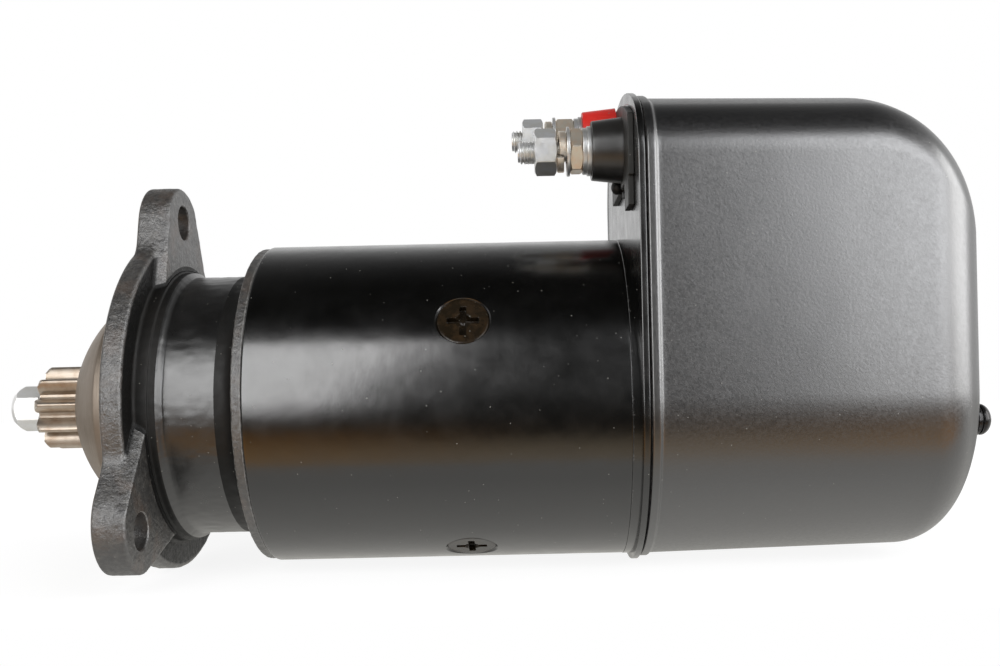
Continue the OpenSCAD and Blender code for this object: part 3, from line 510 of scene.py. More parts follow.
@dataclass(frozen=True)
class Moulding(Finish):
    """Moulded plastic, rubber or carbon with a faint skin texture."""

    name: str
    tone: Colour
    pale: Colour
    smooth: float = 0.3
    rough: float = 0.45
    skin_scale: float = 900.0
    skin: float = 0.000015
    specular: float = 0.5
    cloud_scale: float = 70.0
    cloud_band: Point = (0.4, 0.75)
    film_scale: float = 160.0
    film_band: Point = (0.3, 0.7)
    dust: Colour = (0.25, 0.24, 0.22)
    speck_scale: float = 500.0
    speck_size: float = 0.2
    speck_share: float = 0.03

    def lay_out(self, board: NodeBoard) -> None:
        """Lays out the moulding's nodes.

        Args:
            board: Board of the material.
        """
        cloud = board.spread(board.noise(self.cloud_scale, detail=4.0), *self.cloud_band)
        colour = board.mix(cloud, rgba(self.tone), rgba(self.pale))
        specks = board.specks(self.speck_scale, self.speck_size, self.speck_share)
        colour = board.mix(specks, colour, rgba(self.dust))
        film = board.noise(self.film_scale, detail=4.0)
        board.link(colour, "Base Color")
        board.link(board.spread(film, *self.film_band, self.smooth, self.rough), "Roughness")
        board.link(board.bump(board.noise(self.skin_scale), self.skin), "Normal")
        board.fix(Specular_IOR_Level=self.specular)


YOKE_PAINT = Paint("yoke_enamel")
SHIELD_PAINT = Paint("shield_enamel", gloss=0.2, dull=0.3)
CAP_PAINT = Paint(
    "cap_satin_paint", shade=(0.0045, 0.0045, 0.0047), thin=(0.007, 0.007, 0.007), gloss=0.28, dull=0.38,
    ior=1.84, film_scale=700.0, peel_scale=900.0, peel=0.00004, sag_scale=14.0, sag=0.0005, speck_share=0.04)
NECK_PAINT = Paint(
    "neck_enamel", shade=(0.003, 0.003, 0.0028), thin=(0.007, 0.0065, 0.006), gloss=0.27, dull=0.36,
    sag_scale=90.0, sag=0.0001, peel_scale=420.0, peel=0.00003, speck_share=0.1)
# Dark, dull paint in the housing's hollows: painted shade on the ring and foot behind the web's edge and in
# the groove before the rear rim.
HOLLOW_SHADE_PAINT = Paint(
    "hollow_shade_paint", shade=(0.004, 0.004, 0.0036), thin=(0.01, 0.0085, 0.007), gloss=0.45, dull=0.65,
    specular=0.45, ior=1.45, speck_share=0.12)
# Casting paint, with painted shade on the web's rear face behind the flange's edge.
CAST_PAINT = CastPaint(
    "cast_iron_paint", shade=(0.018, 0.0165, 0.015), thin=(0.066, 0.061, 0.053), dust=(0.26, 0.24, 0.21),
    gloss=0.36, dull=0.55, specular=0.5, ior=2.25, patch_scale=420.0, film_scale=500.0, peel_scale=1400.0,
    peel=0.00006, sag_scale=260.0, sag=0.0004, pit_scale=620.0, pit=0.0004, speck_scale=620.0, speck_size=0.2,
    speck_share=0.12, rub_from=0.2, rubbed=(0.30, 0.295, 0.28))
SCREW_BLACK = Paint(
    "oiled_screw_black", shade=(0.012, 0.008, 0.004), thin=(0.034, 0.019, 0.008), gloss=0.2, dull=0.3,
    specular=0.4, ior=1.45, patch_scale=180.0, rubbed=(0.24, 0.23, 0.2), speck_share=0.1)
BARE_IRON = Metal(
    "turned_bare_iron", (0.285, 0.238, 0.193), (0.20, 0.16, 0.122), smooth=0.42, rough=0.58,
    grain=Grain.ROUND, line_scale=2200.0, line=0.00001, film_scale=40.0, edge=(0.4, 0.37, 0.33),
    metallic=0.6)
ZINC = Plating("zinc_plate", (0.79, 0.80, 0.81), (0.72, 0.71, 0.66), film_scale=180.0)
YELLOW_ZINC = Plating("yellow_zinc_plate", (0.84, 0.78, 0.67), (0.88, 0.70, 0.53), film_scale=220.0)
BRIGHT_ZINC = Plating(
    "bright_zinc_plate", (0.84, 0.84, 0.83), (0.78, 0.77, 0.73), smooth=0.28, rough=0.4, metallic=0.5)
TOOTH_STEEL = Metal(
    "oiled_tooth_steel", (0.50, 0.435, 0.365), (0.38, 0.295, 0.22), smooth=0.32, rough=0.46,
    grain=Grain.AXIAL, line_scale=1600.0, line=0.000008, film_scale=160.0, metallic=0.9)
BLACK_ZINC = Metal(
    "black_zinc_plate", (0.035, 0.034, 0.034), (0.055, 0.05, 0.05), smooth=0.16, rough=0.28,
    edge=(0.25, 0.25, 0.26), metallic=0.7)
BAKELITE = Moulding(
    "black_bakelite", (0.017, 0.0165, 0.0155), (0.03, 0.0285, 0.026), 0.28, 0.38, specular=0.95)
BASE_MOULDING = Moulding("base_moulding", (0.02, 0.02, 0.018), (0.036, 0.035, 0.031), 0.45, 0.6)
RED_MOULDING = Moulding("red_moulding", (0.74, 0.025, 0.018), (0.80, 0.05, 0.035), 0.34, 0.46)
RUBBER = Moulding("black_rubber", (0.008, 0.008, 0.008), (0.016, 0.016, 0.016), 0.5, 0.7)

SLOT_FINISHES: dict[str, Finish] = {
    "cast_housing": CAST_PAINT, "yoke_paint": YOKE_PAINT, "shield_paint": SHIELD_PAINT,
    "cap_paint": CAP_PAINT, "black_zinc": BLACK_ZINC, "zinc_steel": ZINC,
    "hard_steel": Metal("ground_steel", (0.56, 0.56, 0.55), (0.46, 0.43, 0.39), grain=Grain.ROUND),
    "soft_iron": Metal("soft_iron", (0.30, 0.30, 0.31), (0.20, 0.19, 0.18), 0.38, 0.55),
    "spring_steel": Metal("spring_steel", (0.34, 0.34, 0.36), (0.22, 0.21, 0.22), 0.28, 0.42),
    "copper": Metal("copper", (0.80, 0.42, 0.26), (0.55, 0.26, 0.15), 0.28, 0.46),
    "bronze": Metal("bronze", (0.66, 0.48, 0.26), (0.48, 0.33, 0.17), 0.3, 0.45, Grain.ROUND),
    "carbon": Moulding("carbon", (0.02, 0.02, 0.021), (0.035, 0.034, 0.034), 0.5, 0.7),
    "black_moulding": BASE_MOULDING, "red_moulding": RED_MOULDING, "black_rubber": RUBBER,
}


class Bench:
    """Modelling steps that the sub-assemblies share, done with Blender's own operators, in millimetres."""

    @staticmethod
    def clear() -> None:
        """Leaves edit mode and selects nothing."""
        if bpy.context.object is not None and bpy.context.object.mode != "OBJECT":
            bpy.ops.object.mode_set(mode="OBJECT")
        bpy.ops.object.select_all(action="DESELECT")

    @staticmethod
    def only(obj: Piece) -> None:
        """Selects one object alone and makes it active.

        Args:
            obj: The object.
        """
        Bench.clear()
        obj.select_set(True)
        bpy.context.view_layer.objects.active = obj

    @staticmethod
    @contextmanager
    def editing(obj: Piece) -> Iterator[None]:
        """Edit mode on one object, with its whole mesh selected.

        Args:
            obj: The object.

        Returns:
            Context that leaves edit mode at its end.
        """
        Bench.only(obj)
        bpy.ops.object.mode_set(mode="EDIT")
        bpy.ops.mesh.select_all(action="SELECT")
        yield
        bpy.ops.object.mode_set(mode="OBJECT")

    @staticmethod
    def tidy(obj: Piece) -> None:
        """Merges doubles and points all faces outwards.

        Args:
            obj: The object.
        """
        with Bench.editing(obj):
            bpy.ops.mesh.remove_doubles(threshold=MERGE)
            bpy.ops.mesh.normals_make_consistent(inside=False)

    @staticmethod
    def named(name: str) -> Piece:
        """Names the object just added.

        Args:
            name: Its name.

        Returns:
            The object.
        """
        obj = bpy.context.object
        obj.name = obj.data.name = name
        return obj

    @staticmethod
    def coords(obj: Piece) -> np.ndarray:
        """Reads the places of an object's vertices.

        Args:
            obj: The object.

        Returns:
            The places in metres, a row each.
        """
        flat = np.empty(3 * len(obj.data.vertices))
        obj.data.vertices.foreach_get("co", flat)
        return flat.reshape(-1, 3)

    @staticmethod
    def shape(obj: Piece, places: np.ndarray) -> None:
        """Moves the vertices to new places in metres."""
        obj.data.vertices.foreach_set("co", np.ascontiguousarray(places, dtype=float).ravel())
        obj.data.update()

    @staticmethod
    def drawn(name: str, start: Place, moves: Sequence[Point]) -> Piece:
        """Draws a line by extruding a single point move by move.

        Args:
            name: Name of the object.
            start: Place of the point in millimetres.
            moves: Moves as pairs along X and Z.

        Returns:
            The line.
        """
        Bench.clear()
        bpy.ops.mesh.primitive_plane_add(size=MM, location=[value * MM for value in start])
        obj = Bench.named(name)
        bpy.ops.object.transform_apply(location=True, rotation=True, scale=True)
        with Bench.editing(obj):
            bpy.ops.mesh.merge(type="CENTER")
            bpy.ops.mesh.select_all(action="SELECT")
            for x, z in moves:
                bpy.ops.mesh.extrude_region_move(TRANSFORM_OT_translate={"value": (x * MM, 0.0, z * MM)})
        return obj

    @staticmethod
    def turned(name: str, points: Sequence[Point], count: int = 96, y: float = 0.0, z: float = 0.0) -> Piece:
        """Spins a profile about an axis along X.

        Args:
            name: Name of the object.
            points: Profile as (x, radius) pairs; it closes where it ends on its first point.
            count: Steps of the spin.
            y: Sideways place of the axis.
            z: Height of the axis.

        Returns:
            The turned object.
        """
        x, r = points[0]
        moves = [(xb - xa, rb - ra) for (xa, ra), (xb, rb) in zip(points, points[1:])]
        obj = Bench.drawn(name, (x, y, z + r), moves)
        with Bench.editing(obj):
            bpy.ops.mesh.spin(steps=count, angle=math.tau, center=(0.0, y * MM, z * MM), axis=(1.0, 0.0, 0.0))
        Bench.tidy(obj)
        return obj

    @staticmethod
    def pin(name: str, x: float, end: float, r: float, count: int, y: float, z: float) -> Piece:
        """A plain round tool from x to end, for a hole of radius r."""
        return Bench.turned(name, [(x, 0), (x, r), (end, r), (end, 0)], count, y, z)

    @staticmethod
    def lofted(name: str, rings: Sequence[np.ndarray], ends: bool = True) -> Piece:
        """Extrudes a circle ring by ring and shapes each ring.

        Args:
            name: Name of the object.
            rings: Places in millimetres, one array of points per ring, all of the same length.
            ends: Whether the first and the last ring are filled.

        Returns:
            The lofted object.
        """
        table = np.array(rings, dtype=float) * MM
        sides = table.shape[1]
        Bench.clear()
        bpy.ops.mesh.primitive_circle_add(vertices=sides, radius=1.0, fill_type="NOTHING")
        obj = Bench.named(name)
        with Bench.editing(obj):
            if ends:
                bpy.ops.mesh.edge_face_add()
            for _ in table[1:]:
                bpy.ops.mesh.extrude_region_move(TRANSFORM_OT_translate={"value": (0.0, 0.0, 1.0)})
        grid = Bench.coords(obj)
        turn = np.arctan2(grid[:, 1], grid[:, 0]) / math.tau * sides - sides / 4.0
        column = np.round(turn).astype(int) % sides
        row = np.round(grid[:, 2]).astype(int)
        Bench.shape(obj, table[row, column])
        Bench.tidy(obj)
        return obj

    @staticmethod
    def hexagon(name: str, x: float, t: float, flats: float, bore: float, front: Point, rear: Point,
                turn: float = 0.0) -> Piece:
        """A hexagonal nut on the axis.

        Args:
            name: Name of the object.
            x: Place of its front face.
            t: Its thickness.
            flats: Its width across the flats.
            bore: Radius of its bore.
            front: Radius of the front face and length of the cone behind it.
            rear: The same for the rear face.
            turn: Degrees that its corners are turned from straight up and down.

        Returns:
            The nut.
        """
        corner = flats / 2.0 / math.cos(math.pi / 6)
        ring = np.array([(0.0, corner * math.cos(a), corner * math.sin(a))
                         for a in np.radians(steps(90.0 + turn, 390.0 + turn, 6))])
        spare, rounding, lead, step, wide = 1.0, 0.35, 0.7, 0.2, corner + 0.6
        ends = (np.array((x - spare, 0.0, 0.0)), np.array((x + t + spare, 0.0, 0.0)))
        obj = Bench.lofted(name, [ring + end for end in ends])
        Bench.bevel(obj, rounding, segments=3, angle=45.0)
        cone = Bench.turned("cone_tool", [
            (x, bore + lead), (x, front[0]), (x + front[1], corner), (x + front[1] + step, wide),
            (x + t - rear[1] - step, wide), (x + t - rear[1], corner), (x + t, rear[0]), (x + t, bore + lead),
            (x + t - lead, bore), (x + lead, bore), (x, bore + lead)])
        Bench.combine(obj, cone, Blend.KEEP)
        return obj

    @staticmethod
    def thread(name: str, x: float, pitch: float, turns: int, root: float, crest: float) -> Piece:
        """A screw thread along the axis, open at both ends.

        Args:
            name: Name of the object.
            x: Where it starts.
            pitch: Rise of one turn.
            turns: Number of turns.
            root: Radius between the ridges.
            crest: Radius of the ridges.

        Returns:
            The thread.
        """
        high = crest - root
        ridge = ((0.08, 0.0), (0.34, high), (0.16, 0.0), (0.34, -high), (0.08, 0.0))
        obj = Bench.drawn(name, (x, 0.0, root), [(share * pitch, out) for share, out in ridge])
        Bench.finish_with(obj, "SCREW", axis="X", angle=math.tau, screw_offset=pitch * MM, iterations=turns,
                          steps=32, render_steps=32)
        Bench.tidy(obj)
        return obj

    @staticmethod
    def trim(obj: Piece, x: float, before: bool) -> None:
        """Cuts off one end of an object and fills the cut.

        Args:
            obj: The object.
            x: Place of the cut.
            before: Whether the end before x goes, or else the one behind it.
        """
        with Bench.editing(obj):
            bpy.ops.mesh.bisect(plane_co=(x * MM, 0.0, 0.0), plane_no=(1.0, 0.0, 0.0), use_fill=True,
                                clear_inner=before, clear_outer=not before)

    @staticmethod
    def finish_with(obj: Piece, kind: str, **settings: object) -> None:
        """Adds a modifier and applies it.

        Args:
            obj: The object.
            kind: Blender's type name of the modifier.
            **settings: Properties of the modifier.
        """
        Bench.only(obj)
        modifier = obj.modifiers.new(kind.lower(), kind)
        for key, value in settings.items():
            setattr(modifier, key, value)
        bpy.ops.object.modifier_apply(modifier=modifier.name)

    @staticmethod
    def bevel(obj: Piece, width: float, segments: int, angle: float) -> None:
        """Rounds the edges that are sharper than an angle in degrees."""
        Bench.finish_with(obj, "BEVEL", width=width * MM, segments=segments, limit_method="ANGLE",
                          angle_limit=math.radians(angle))

    @staticmethod
    def combine(obj: Piece, tool: Piece, how: Blend) -> None:
        """Joins, cuts or keeps obj by a tool, which is then removed."""
        Bench.finish_with(obj, "BOOLEAN", object=tool, operation=how.value, solver="EXACT")
        bpy.data.objects.remove(tool)

    @staticmethod
    def joined(name: str, parts: Sequence[Piece]) -> Piece:
        """Puts several objects into one.

        Args:
            name: Name of the whole.
            parts: The objects, of which the first is kept.

        Returns:
            The joined object.
        """
        Bench.only(parts[0])
        for part in parts:
            part.select_set(True)
        bpy.ops.object.join()
        parts[0].name = parts[0].data.name = name
        return parts[0]

    @staticmethod
    def copied(obj: Piece, name: str, move: Matrix) -> Piece:
        """Copies an object with a mesh of its own, moved inside its mesh.

        Args:
            obj: The object.
            name: Name of the copy.
            move: Where its mesh goes.

        Returns:
            The copy.
        """
        other = obj.copy()
        other.data = obj.data.copy()
        other.name = other.data.name = name
        other.data.transform(move)
        bpy.context.scene.collection.objects.link(other)
        return other

    @staticmethod
    def outward(x: float, angle: float) -> Matrix:
        """Turns a piece built along +X from the origin to point out of the axis.

        Args:
            x: Its place along the axis.
            angle: Its angle round the axis in degrees.

        Returns:
            The move.
        """
        a = math.radians(angle)
        return Matrix(((0.0, 1.0, 0.0, x * MM), (-math.cos(a), 0.0, math.sin(a), 0.0),
                       (math.sin(a), 0.0, math.cos(a), 0.0), (0.0, 0.0, 0.0, 1.0)))

    @staticmethod
    def paint(obj: Piece, finishes: Sequence[Finish], choose: Callable[[float, float], Finish]) -> None:
        """Dresses each face by its place.

        Args:
            obj: The object.
            finishes: All its finishes.
            choose: Picks one of them by a face's place along the axis and its radius.
        """
        obj.data.materials.clear()
        for finish in finishes:
            obj.data.materials.append(finish.material())
        order = {finish.name: number for number, finish in enumerate(finishes)}
        for face in obj.data.polygons:
            x, y, z = face.center / MM
            face.material_index = order[choose(x, math.hypot(y, z)).name]

    @staticmethod
    def mark_wear(obj: Piece, reach: float, passes: int) -> None:
        """Writes the wear attribute: how convex the mesh is at each vertex.

        Args:
            obj: The object.
            reach: Convexity at which the attribute is 1.
            passes: How often the attribute is smoothed.
        """
        mesh = obj.data
        places = Bench.coords(obj)
        normals = np.empty(3 * len(mesh.vertices))
        mesh.vertex_normals.foreach_get("vector", normals)
        normals = normals.reshape(-1, 3)
        pairs = np.empty(2 * len(mesh.edges), dtype=int)
        mesh.edges.foreach_get("vertices", pairs)
        first, second = pairs.reshape(-1, 2).T
        way = places[second] - places[first]
        way /= np.maximum(np.linalg.norm(way, axis=1), 1e-9)[:, None]
        total, count = np.zeros(len(places)), np.zeros(len(places))
        for near, sign in ((first, -1.0), (second, 1.0)):
            np.add.at(total, near, sign * np.einsum("ij,ij->i", normals[near], way))
            np.add.at(count, near, 1.0)
        count = np.maximum(count, 1.0)
        wear = np.clip(total / count / reach, 0.0, 1.0)
        for _ in range(passes):
            around = np.zeros(len(places))
            np.add.at(around, first, wear[second])
            np.add.at(around, second, wear[first])
            wear = 0.5 * wear + 0.5 * around / count
        layer = mesh.attributes.new("wear", "FLOAT", "POINT")
        layer.data.foreach_set("value", wear.astype(np.float32))


def hand_over(piece: Piece, finish: Finish, nodes: Sequence[str],
              body: str = "housing", angle: float = 35.0, wear: float = 0.35, passes: int = 0,
              ) -> Piece:
    """Shades and dresses a finished piece and ties it to the frame.

    Args:
        piece: The finished piece.
        finish: Its main finish.
        nodes: CAD nodes that the piece stands for.
        body: CAD body that the piece rides on.
        angle: Edges sharper than this many degrees stay sharp.
        wear: Convexity at which an edge counts as fully rubbed.
        passes: How often the wear is smoothed.

    Returns:
        The piece.
    """
    Bench.only(piece)
    bpy.ops.object.shade_smooth_by_angle(angle=math.radians(angle))
    Bench.mark_wear(piece, wear, passes)
    Bench.finish_with(piece, "WEIGHTED_NORMAL", keep_sharp=True)
    if not piece.data.materials:
        piece.data.materials.append(finish.material())
    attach(piece, body)
    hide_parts(*nodes)
    LOG.info("%s: %d faces, %s, on %s", piece.name, len(piece.data.polygons), finish.name, body)
    return piece


@dataclass
class DriveHousing:
    """Cast housing with its nose, pilot, lobed flange, neck and rear rim."""

    nose_len: float = 31.0
    nose_tip_r: float = 24.0
    nose_bore_r: float = 21.0
    pilot_r: float = 46.0
    pilot_len: float = 14.0
    web_r: float = 73.7
    web_t: float = 8.6
    lobe_t: float = 13.3
    lobe_r: float = 21.0
    lobe_reach: float = 77.2
    lobe_root_reach: float = 38.0
    lobe_root_r: float = 34.0
    lobe_angles: tuple[float, ...] = (84.0, 204.0, 324.0)
    hole_circle_r: float = 82.7
    hole_r: float = 7.6
    ring_r: float = 61.5
    ring_x: float = 14.3
    foot_r: float = 60.5
    foot_x: float = 17.0
    neck_r: float = 58.2
    neck_x: float = 19.3
    hollow_r: float = 7.6
    rim_x: float = 49.9
    rim_r: float = 70.3
    rim_end_x: float = 54.3
    spigot_r: float = 62.95
    spigot_end_x: float = 60.3
    bores: tuple[Point, ...] = (
        (60.3, 50.0), (30.3, 50.0), (30.3, 31.0), (17.3, 31.0), (17.3, 24.0), (14.0, 24.0), (14.0, 16.53),
        (-9.5, 16.53), (-9.5, 19.0), (-15.5, 19.0), (-15.5, 21.0))
    bolt_circle_r: float = 57.075
    bolt_r: float = 4.05
    bolt_x: float = 51.5
    bolt_end_x: float = 62.0
    bolt_angle: float = 72.0
    columns: int = 440
    fine_columns: int = 14401
    edge: float = 0.6
    front_round: float = 1.2
    rear_round: float = 1.9
    foot_round: float = 1.6
    rim_round: float = 0.9
    pilot_stations: tuple[float, ...] = (-9.0, -4.0, -0.8)
    face_stations: tuple[float, ...] = (50.0, 56.0, 61.0, 64.0, 67.0, 69.5, 71.0)
    face_in_r: float = 63.4
    web_stations: tuple[float, ...] = (2.4, 3.6, 4.8, 5.8)
    ring_stations: tuple[float, ...] = (11.2, 12.2, 13.0)
    foot_mid_x: float = 15.6
    foot_slope: Point = (18.0, 59.5)
    neck_from_x: float = 22.0
    hollow_stations: tuple[float, ...] = (67.6, 69.0)
    rim_stations: tuple[float, ...] = (51.6, 52.5, 53.3)
    corner_blend: float = 5.0
    pad_slope: Point = (-0.6, 2.0)
    draw_band: Point = (62.0, 70.0)
    lift_band: Point = (1.6, 6.4)
    skin_size: float = 3.2
    skin_depth: float = 0.34
    skin_level: float = 0.75

    def nose(self) -> list[Point]:
        """Draws the nose, whose dome is part of a ball, and the pilot.

        Returns:
            Profile as (x, radius) pairs.
        """
        tip_x = -self.nose_len
        ball_x = (self.nose_len ** 2 + self.nose_tip_r ** 2 - self.pilot_len ** 2 - self.pilot_r ** 2) / (
            2.0 * (self.pilot_len - self.nose_len))
        ball_r = math.hypot(self.pilot_len + ball_x, self.pilot_r)
        dome = [(x, math.sqrt(ball_r ** 2 - (x - ball_x) ** 2))
                for x in steps(tip_x + 0.8, -self.pilot_len - 0.4, 14)]
        return [
            (tip_x, self.nose_bore_r + self.edge), (tip_x, self.nose_tip_r - 1.2),
            (tip_x + 0.25, self.nose_tip_r - 0.4), *dome,
            *along(self.pilot_r, (-self.pilot_len + 0.4, *self.pilot_stations)),
            *along(self.pilot_r - self.edge, (self.pilot_stations[-1], 0.0))]

    def flange(self) -> list[Point]:
        """Draws the web and the ring behind it.

        Returns:
            Profile as (x, radius) pairs.
        """
        front, rear, foot, rim = self.front_round, self.rear_round, self.foot_round, self.rim_round
        return [
            *across(0.0, self.face_stations), *arc(front, self.web_r - front, front, 180, 90, 5),
            *along(self.web_r, self.web_stations), *arc(self.web_t - rear, self.web_r - rear, rear, 90, 0, 7),
            *across(self.web_t, steps(self.web_r - rear - 0.8, self.face_in_r, 9)),
            *arc(self.web_t + foot, self.ring_r + foot, foot, 192, 270, 5),
            *along(self.ring_r, self.ring_stations),
            *arc(self.ring_x - rim, self.ring_r - rim, rim, 80, 8, 4)]

    def neck(self) -> list[Point]:
        """Draws the neck from its foot to the hollow before the rim.

        Returns:
            Profile as (x, radius) pairs.
        """
        hollow_x, hollow_top = self.rim_x - self.hollow_r, self.neck_r + self.hollow_r
        straight = steps(self.neck_from_x, hollow_x - self.edge, 12)
        return [
            *along(self.foot_r, (self.ring_x + 0.3, self.foot_mid_x, self.foot_x - self.edge)),
            (self.foot_x, self.foot_r - 0.2), self.foot_slope, (self.neck_x - 0.4, self.neck_r + 0.35),
            *along(self.neck_r, (self.neck_x + self.edge, *straight)),
            *arc(hollow_x, hollow_top, self.hollow_r, 270, 356, 10),
            *across(self.rim_x, (hollow_top + self.edge, *self.hollow_stations))]

    def rim(self) -> list[Point]:
        """Draws the rear rim and the spigot.

        Returns:
            Profile as (x, radius) pairs.
        """
        r, end, spigot_end = self.rim_round, self.rim_end_x, self.spigot_end_x
        return [
            *arc(self.rim_x + r, self.rim_r - r, r, 170, 90, 4), *along(self.rim_r, self.rim_stations),
            (end - 0.4, self.rim_r), (end, self.rim_r - 0.4), (end, self.spigot_r),
            (spigot_end - self.edge, self.spigot_r), (spigot_end, self.spigot_r - self.edge)]

    def profile(self) -> list[Point]:
        """Closed profile of the housing between its lobes, as (x, radius) pairs."""
        lead = [(self.edge - self.nose_len, self.nose_bore_r), (-self.nose_len, self.nose_bore_r + self.edge)]
        return [*self.nose(), *self.flange(), *self.neck(), *self.rim(), *self.bores, *lead]

    def lobe_side(self) -> tuple[float, float, float]:
        """Finds where a lobe's straight side meets its round end.

        Returns:
            Reach and half width of that point, and the side's slope.
        """
        s = (self.lobe_root_r - self.lobe_r) / (self.lobe_reach - self.lobe_root_reach)
        q = math.sqrt(1.0 - s * s)
        return self.lobe_reach + self.lobe_r * s, self.lobe_r * q, s / q

    def off_axis(self, angle: np.ndarray) -> np.ndarray:
        """Angle in radians from the nearest lobe's middle, never negative."""
        turns = [np.abs((angle - math.radians(a) + math.pi) % math.tau - math.pi) for a in self.lobe_angles]
        return np.min(turns, axis=0)

    def rim_radius(self, angle: np.ndarray) -> np.ndarray:
        """Draws the flange's edge, with a soft corner where a lobe leaves the web.

        Args:
            angle: Angles round the axis in radians.

        Returns:
            Radius of the edge at each angle.
        """
        u, v, slope = self.lobe_side()
        turn = self.off_axis(angle)
        inside = np.maximum(self.lobe_r ** 2 - (self.lobe_reach * np.sin(turn)) ** 2, 0.0)
        tip = self.lobe_reach * np.cos(turn) + np.sqrt(inside)
        side = (v + slope * u) / np.maximum(np.sin(turn) + slope * np.cos(turn), 1e-6)
        lobe = np.where(turn < math.atan2(v, u), tip, np.where(turn < 1.0, side, 0.0))
        blend = self.corner_blend
        overlap = np.clip(blend - np.abs(lobe - self.web_r), 0.0, None) / blend
        return np.maximum(lobe, self.web_r) + overlap ** 2 * blend / 4.0

    def pad(self, radius: np.ndarray, angle: np.ndarray) -> np.ndarray:
        """Tells a lobe's raised pad from the web, with a cast slope between.

        Args:
            radius: Distances from the axis.
            angle: Angles round the axis in radians.

        Returns:
            1 on a pad and 0 on the web.
        """
        u, v, slope = self.lobe_side()
        turn = self.off_axis(angle)
        limit = v + slope * (u - radius * np.cos(turn))
        return soft_step((limit - radius * np.sin(turn)) / math.hypot(1.0, slope), *self.pad_slope)

    def spread_columns(self) -> np.ndarray:
        """Spaces the spun columns, closer together along the sides of the lobes.

        Returns:
            Their angles in radians.
        """
        fine = np.linspace(0.0, math.tau, self.fine_columns)
        radius = self.rim_radius(fine)
        length = np.hypot(np.diff(radius), 0.5 * (radius[1:] + radius[:-1]) * np.diff(fine))
        total = np.concatenate(([0.0], np.cumsum(length)))
        return np.interp(np.linspace(0.0, total[-1], self.columns, endpoint=False), total, fine)

    def raise_lobes(self, obj: Piece) -> None:
        """Draws the spun web out into its lobes and raises their pads.

        Args:
            obj: The spun housing.
        """
        places = Bench.coords(obj) / MM
        x, radius = places[:, 0], np.hypot(places[:, 1], places[:, 2])
        turn = (np.arctan2(places[:, 2], -places[:, 1]) % math.tau) / math.tau * self.columns
        angle = self.spread_columns()[np.round(turn).astype(int) % self.columns]
        flange = (x > -0.01) & (x < self.ring_x + 0.2) & (radius > self.ring_r - 0.01)
        drawn = radius + (self.rim_radius(angle) - self.web_r) * soft_step(radius, *self.draw_band)
        lift = (self.lobe_t - self.web_t) * self.pad(drawn, angle)
        on_wall = x > self.web_t + 0.05
        share = (x - self.web_t) / (self.ring_x - self.web_t)
        raised = np.where(on_wall, self.web_t + lift + share * (self.ring_x - self.web_t - lift),
                          x + lift * soft_step(x, *self.lift_band))
        radius = np.where(flange, drawn, radius)
        x = np.where(flange, raised, x)
        Bench.shape(obj, np.column_stack((x, -radius * np.cos(angle), radius * np.sin(angle))) * MM)

    def roughen(self, obj: Piece) -> None:
        """Gives the cast surfaces a slightly uneven skin.

        Args:
            obj: The housing.
        """
        places = Bench.coords(obj) / MM
        radius = np.hypot(places[:, 1], places[:, 2])
        cast = (places[:, 0] > 0.5) & (places[:, 0] < self.rim_end_x - 0.5) & (radius > self.neck_r - 0.5)
        group = obj.vertex_groups.new(name="cast_skin")
        group.add([int(i) for i in np.flatnonzero(cast)], 1.0, "REPLACE")
        skin = bpy.data.textures.new("cast_skin", "CLOUDS")
        skin.noise_scale = self.skin_size * MM
        skin.noise_depth = 3
        Bench.finish_with(obj, "DISPLACE", texture=skin, texture_coords="LOCAL",
                          strength=self.skin_depth * MM, mid_level=self.skin_level, vertex_group=group.name)

    def drill(self, obj: Piece) -> None:
        """Cuts the mounting holes and the blind holes of the through bolts.

        Args:
            obj: The housing.
        """
        r, end = self.hole_r, self.lobe_t
        section = [(-1, 0), (-1, r + 1.4), *along(r, steps(0.4, end - 0.5, 9)), (end + 1, r + 1.5),
                   (end + 1, 0)]
        tools = [Bench.turned("hole_tool", section, 64, *polar(self.hole_circle_r, angle))
                 for angle in self.lobe_angles]
        tools += [Bench.pin("bolt_tool", self.bolt_x, self.bolt_end_x, self.bolt_r, 32,
                            *polar(self.bolt_circle_r, self.bolt_angle + side)) for side in (0.0, 180.0)]
        Bench.combine(obj, Bench.joined("drill_tools", tools), Blend.CUT)

    def finish_at(self, x: float, radius: float) -> Finish:
        """Picks a finish: bare nose and bores, painted shade in the hollows, painted neck, rough paint
        elsewhere.

        Args:
            x: A face's place along the axis.
            radius: Its distance from the axis.

        Returns:
            The face's finish.
        """
        if x < 0.3 or x > self.rim_end_x or radius < self.neck_r - 1.0:
            return BARE_IRON
        # Painted shade: dark, dull paint in the groove before the rear rim.
        if self.rim_x - self.hollow_r - 1.5 < x < self.rim_x - 0.05:
            return HOLLOW_SHADE_PAINT
        if self.foot_x < x < self.rim_x:
            return NECK_PAINT
        # Painted shade on the ring and foot behind the web's edge.
        if self.web_t - 0.4 < x < self.rim_x and radius < self.ring_r + 1.5:
            return HOLLOW_SHADE_PAINT
        return CAST_PAINT

    def build(self) -> None:
        """Builds, dresses and hands over the housing."""
        obj = Bench.turned("drive_housing_casting", self.profile(), self.columns)
        self.raise_lobes(obj)
        self.roughen(obj)
        self.drill(obj)
        Bench.paint(obj, (CAST_PAINT, NECK_PAINT, BARE_IRON, HOLLOW_SHADE_PAINT), self.finish_at)
        hand_over(obj, CAST_PAINT, ["drive_housing"], angle=40.0, wear=0.22, passes=3)


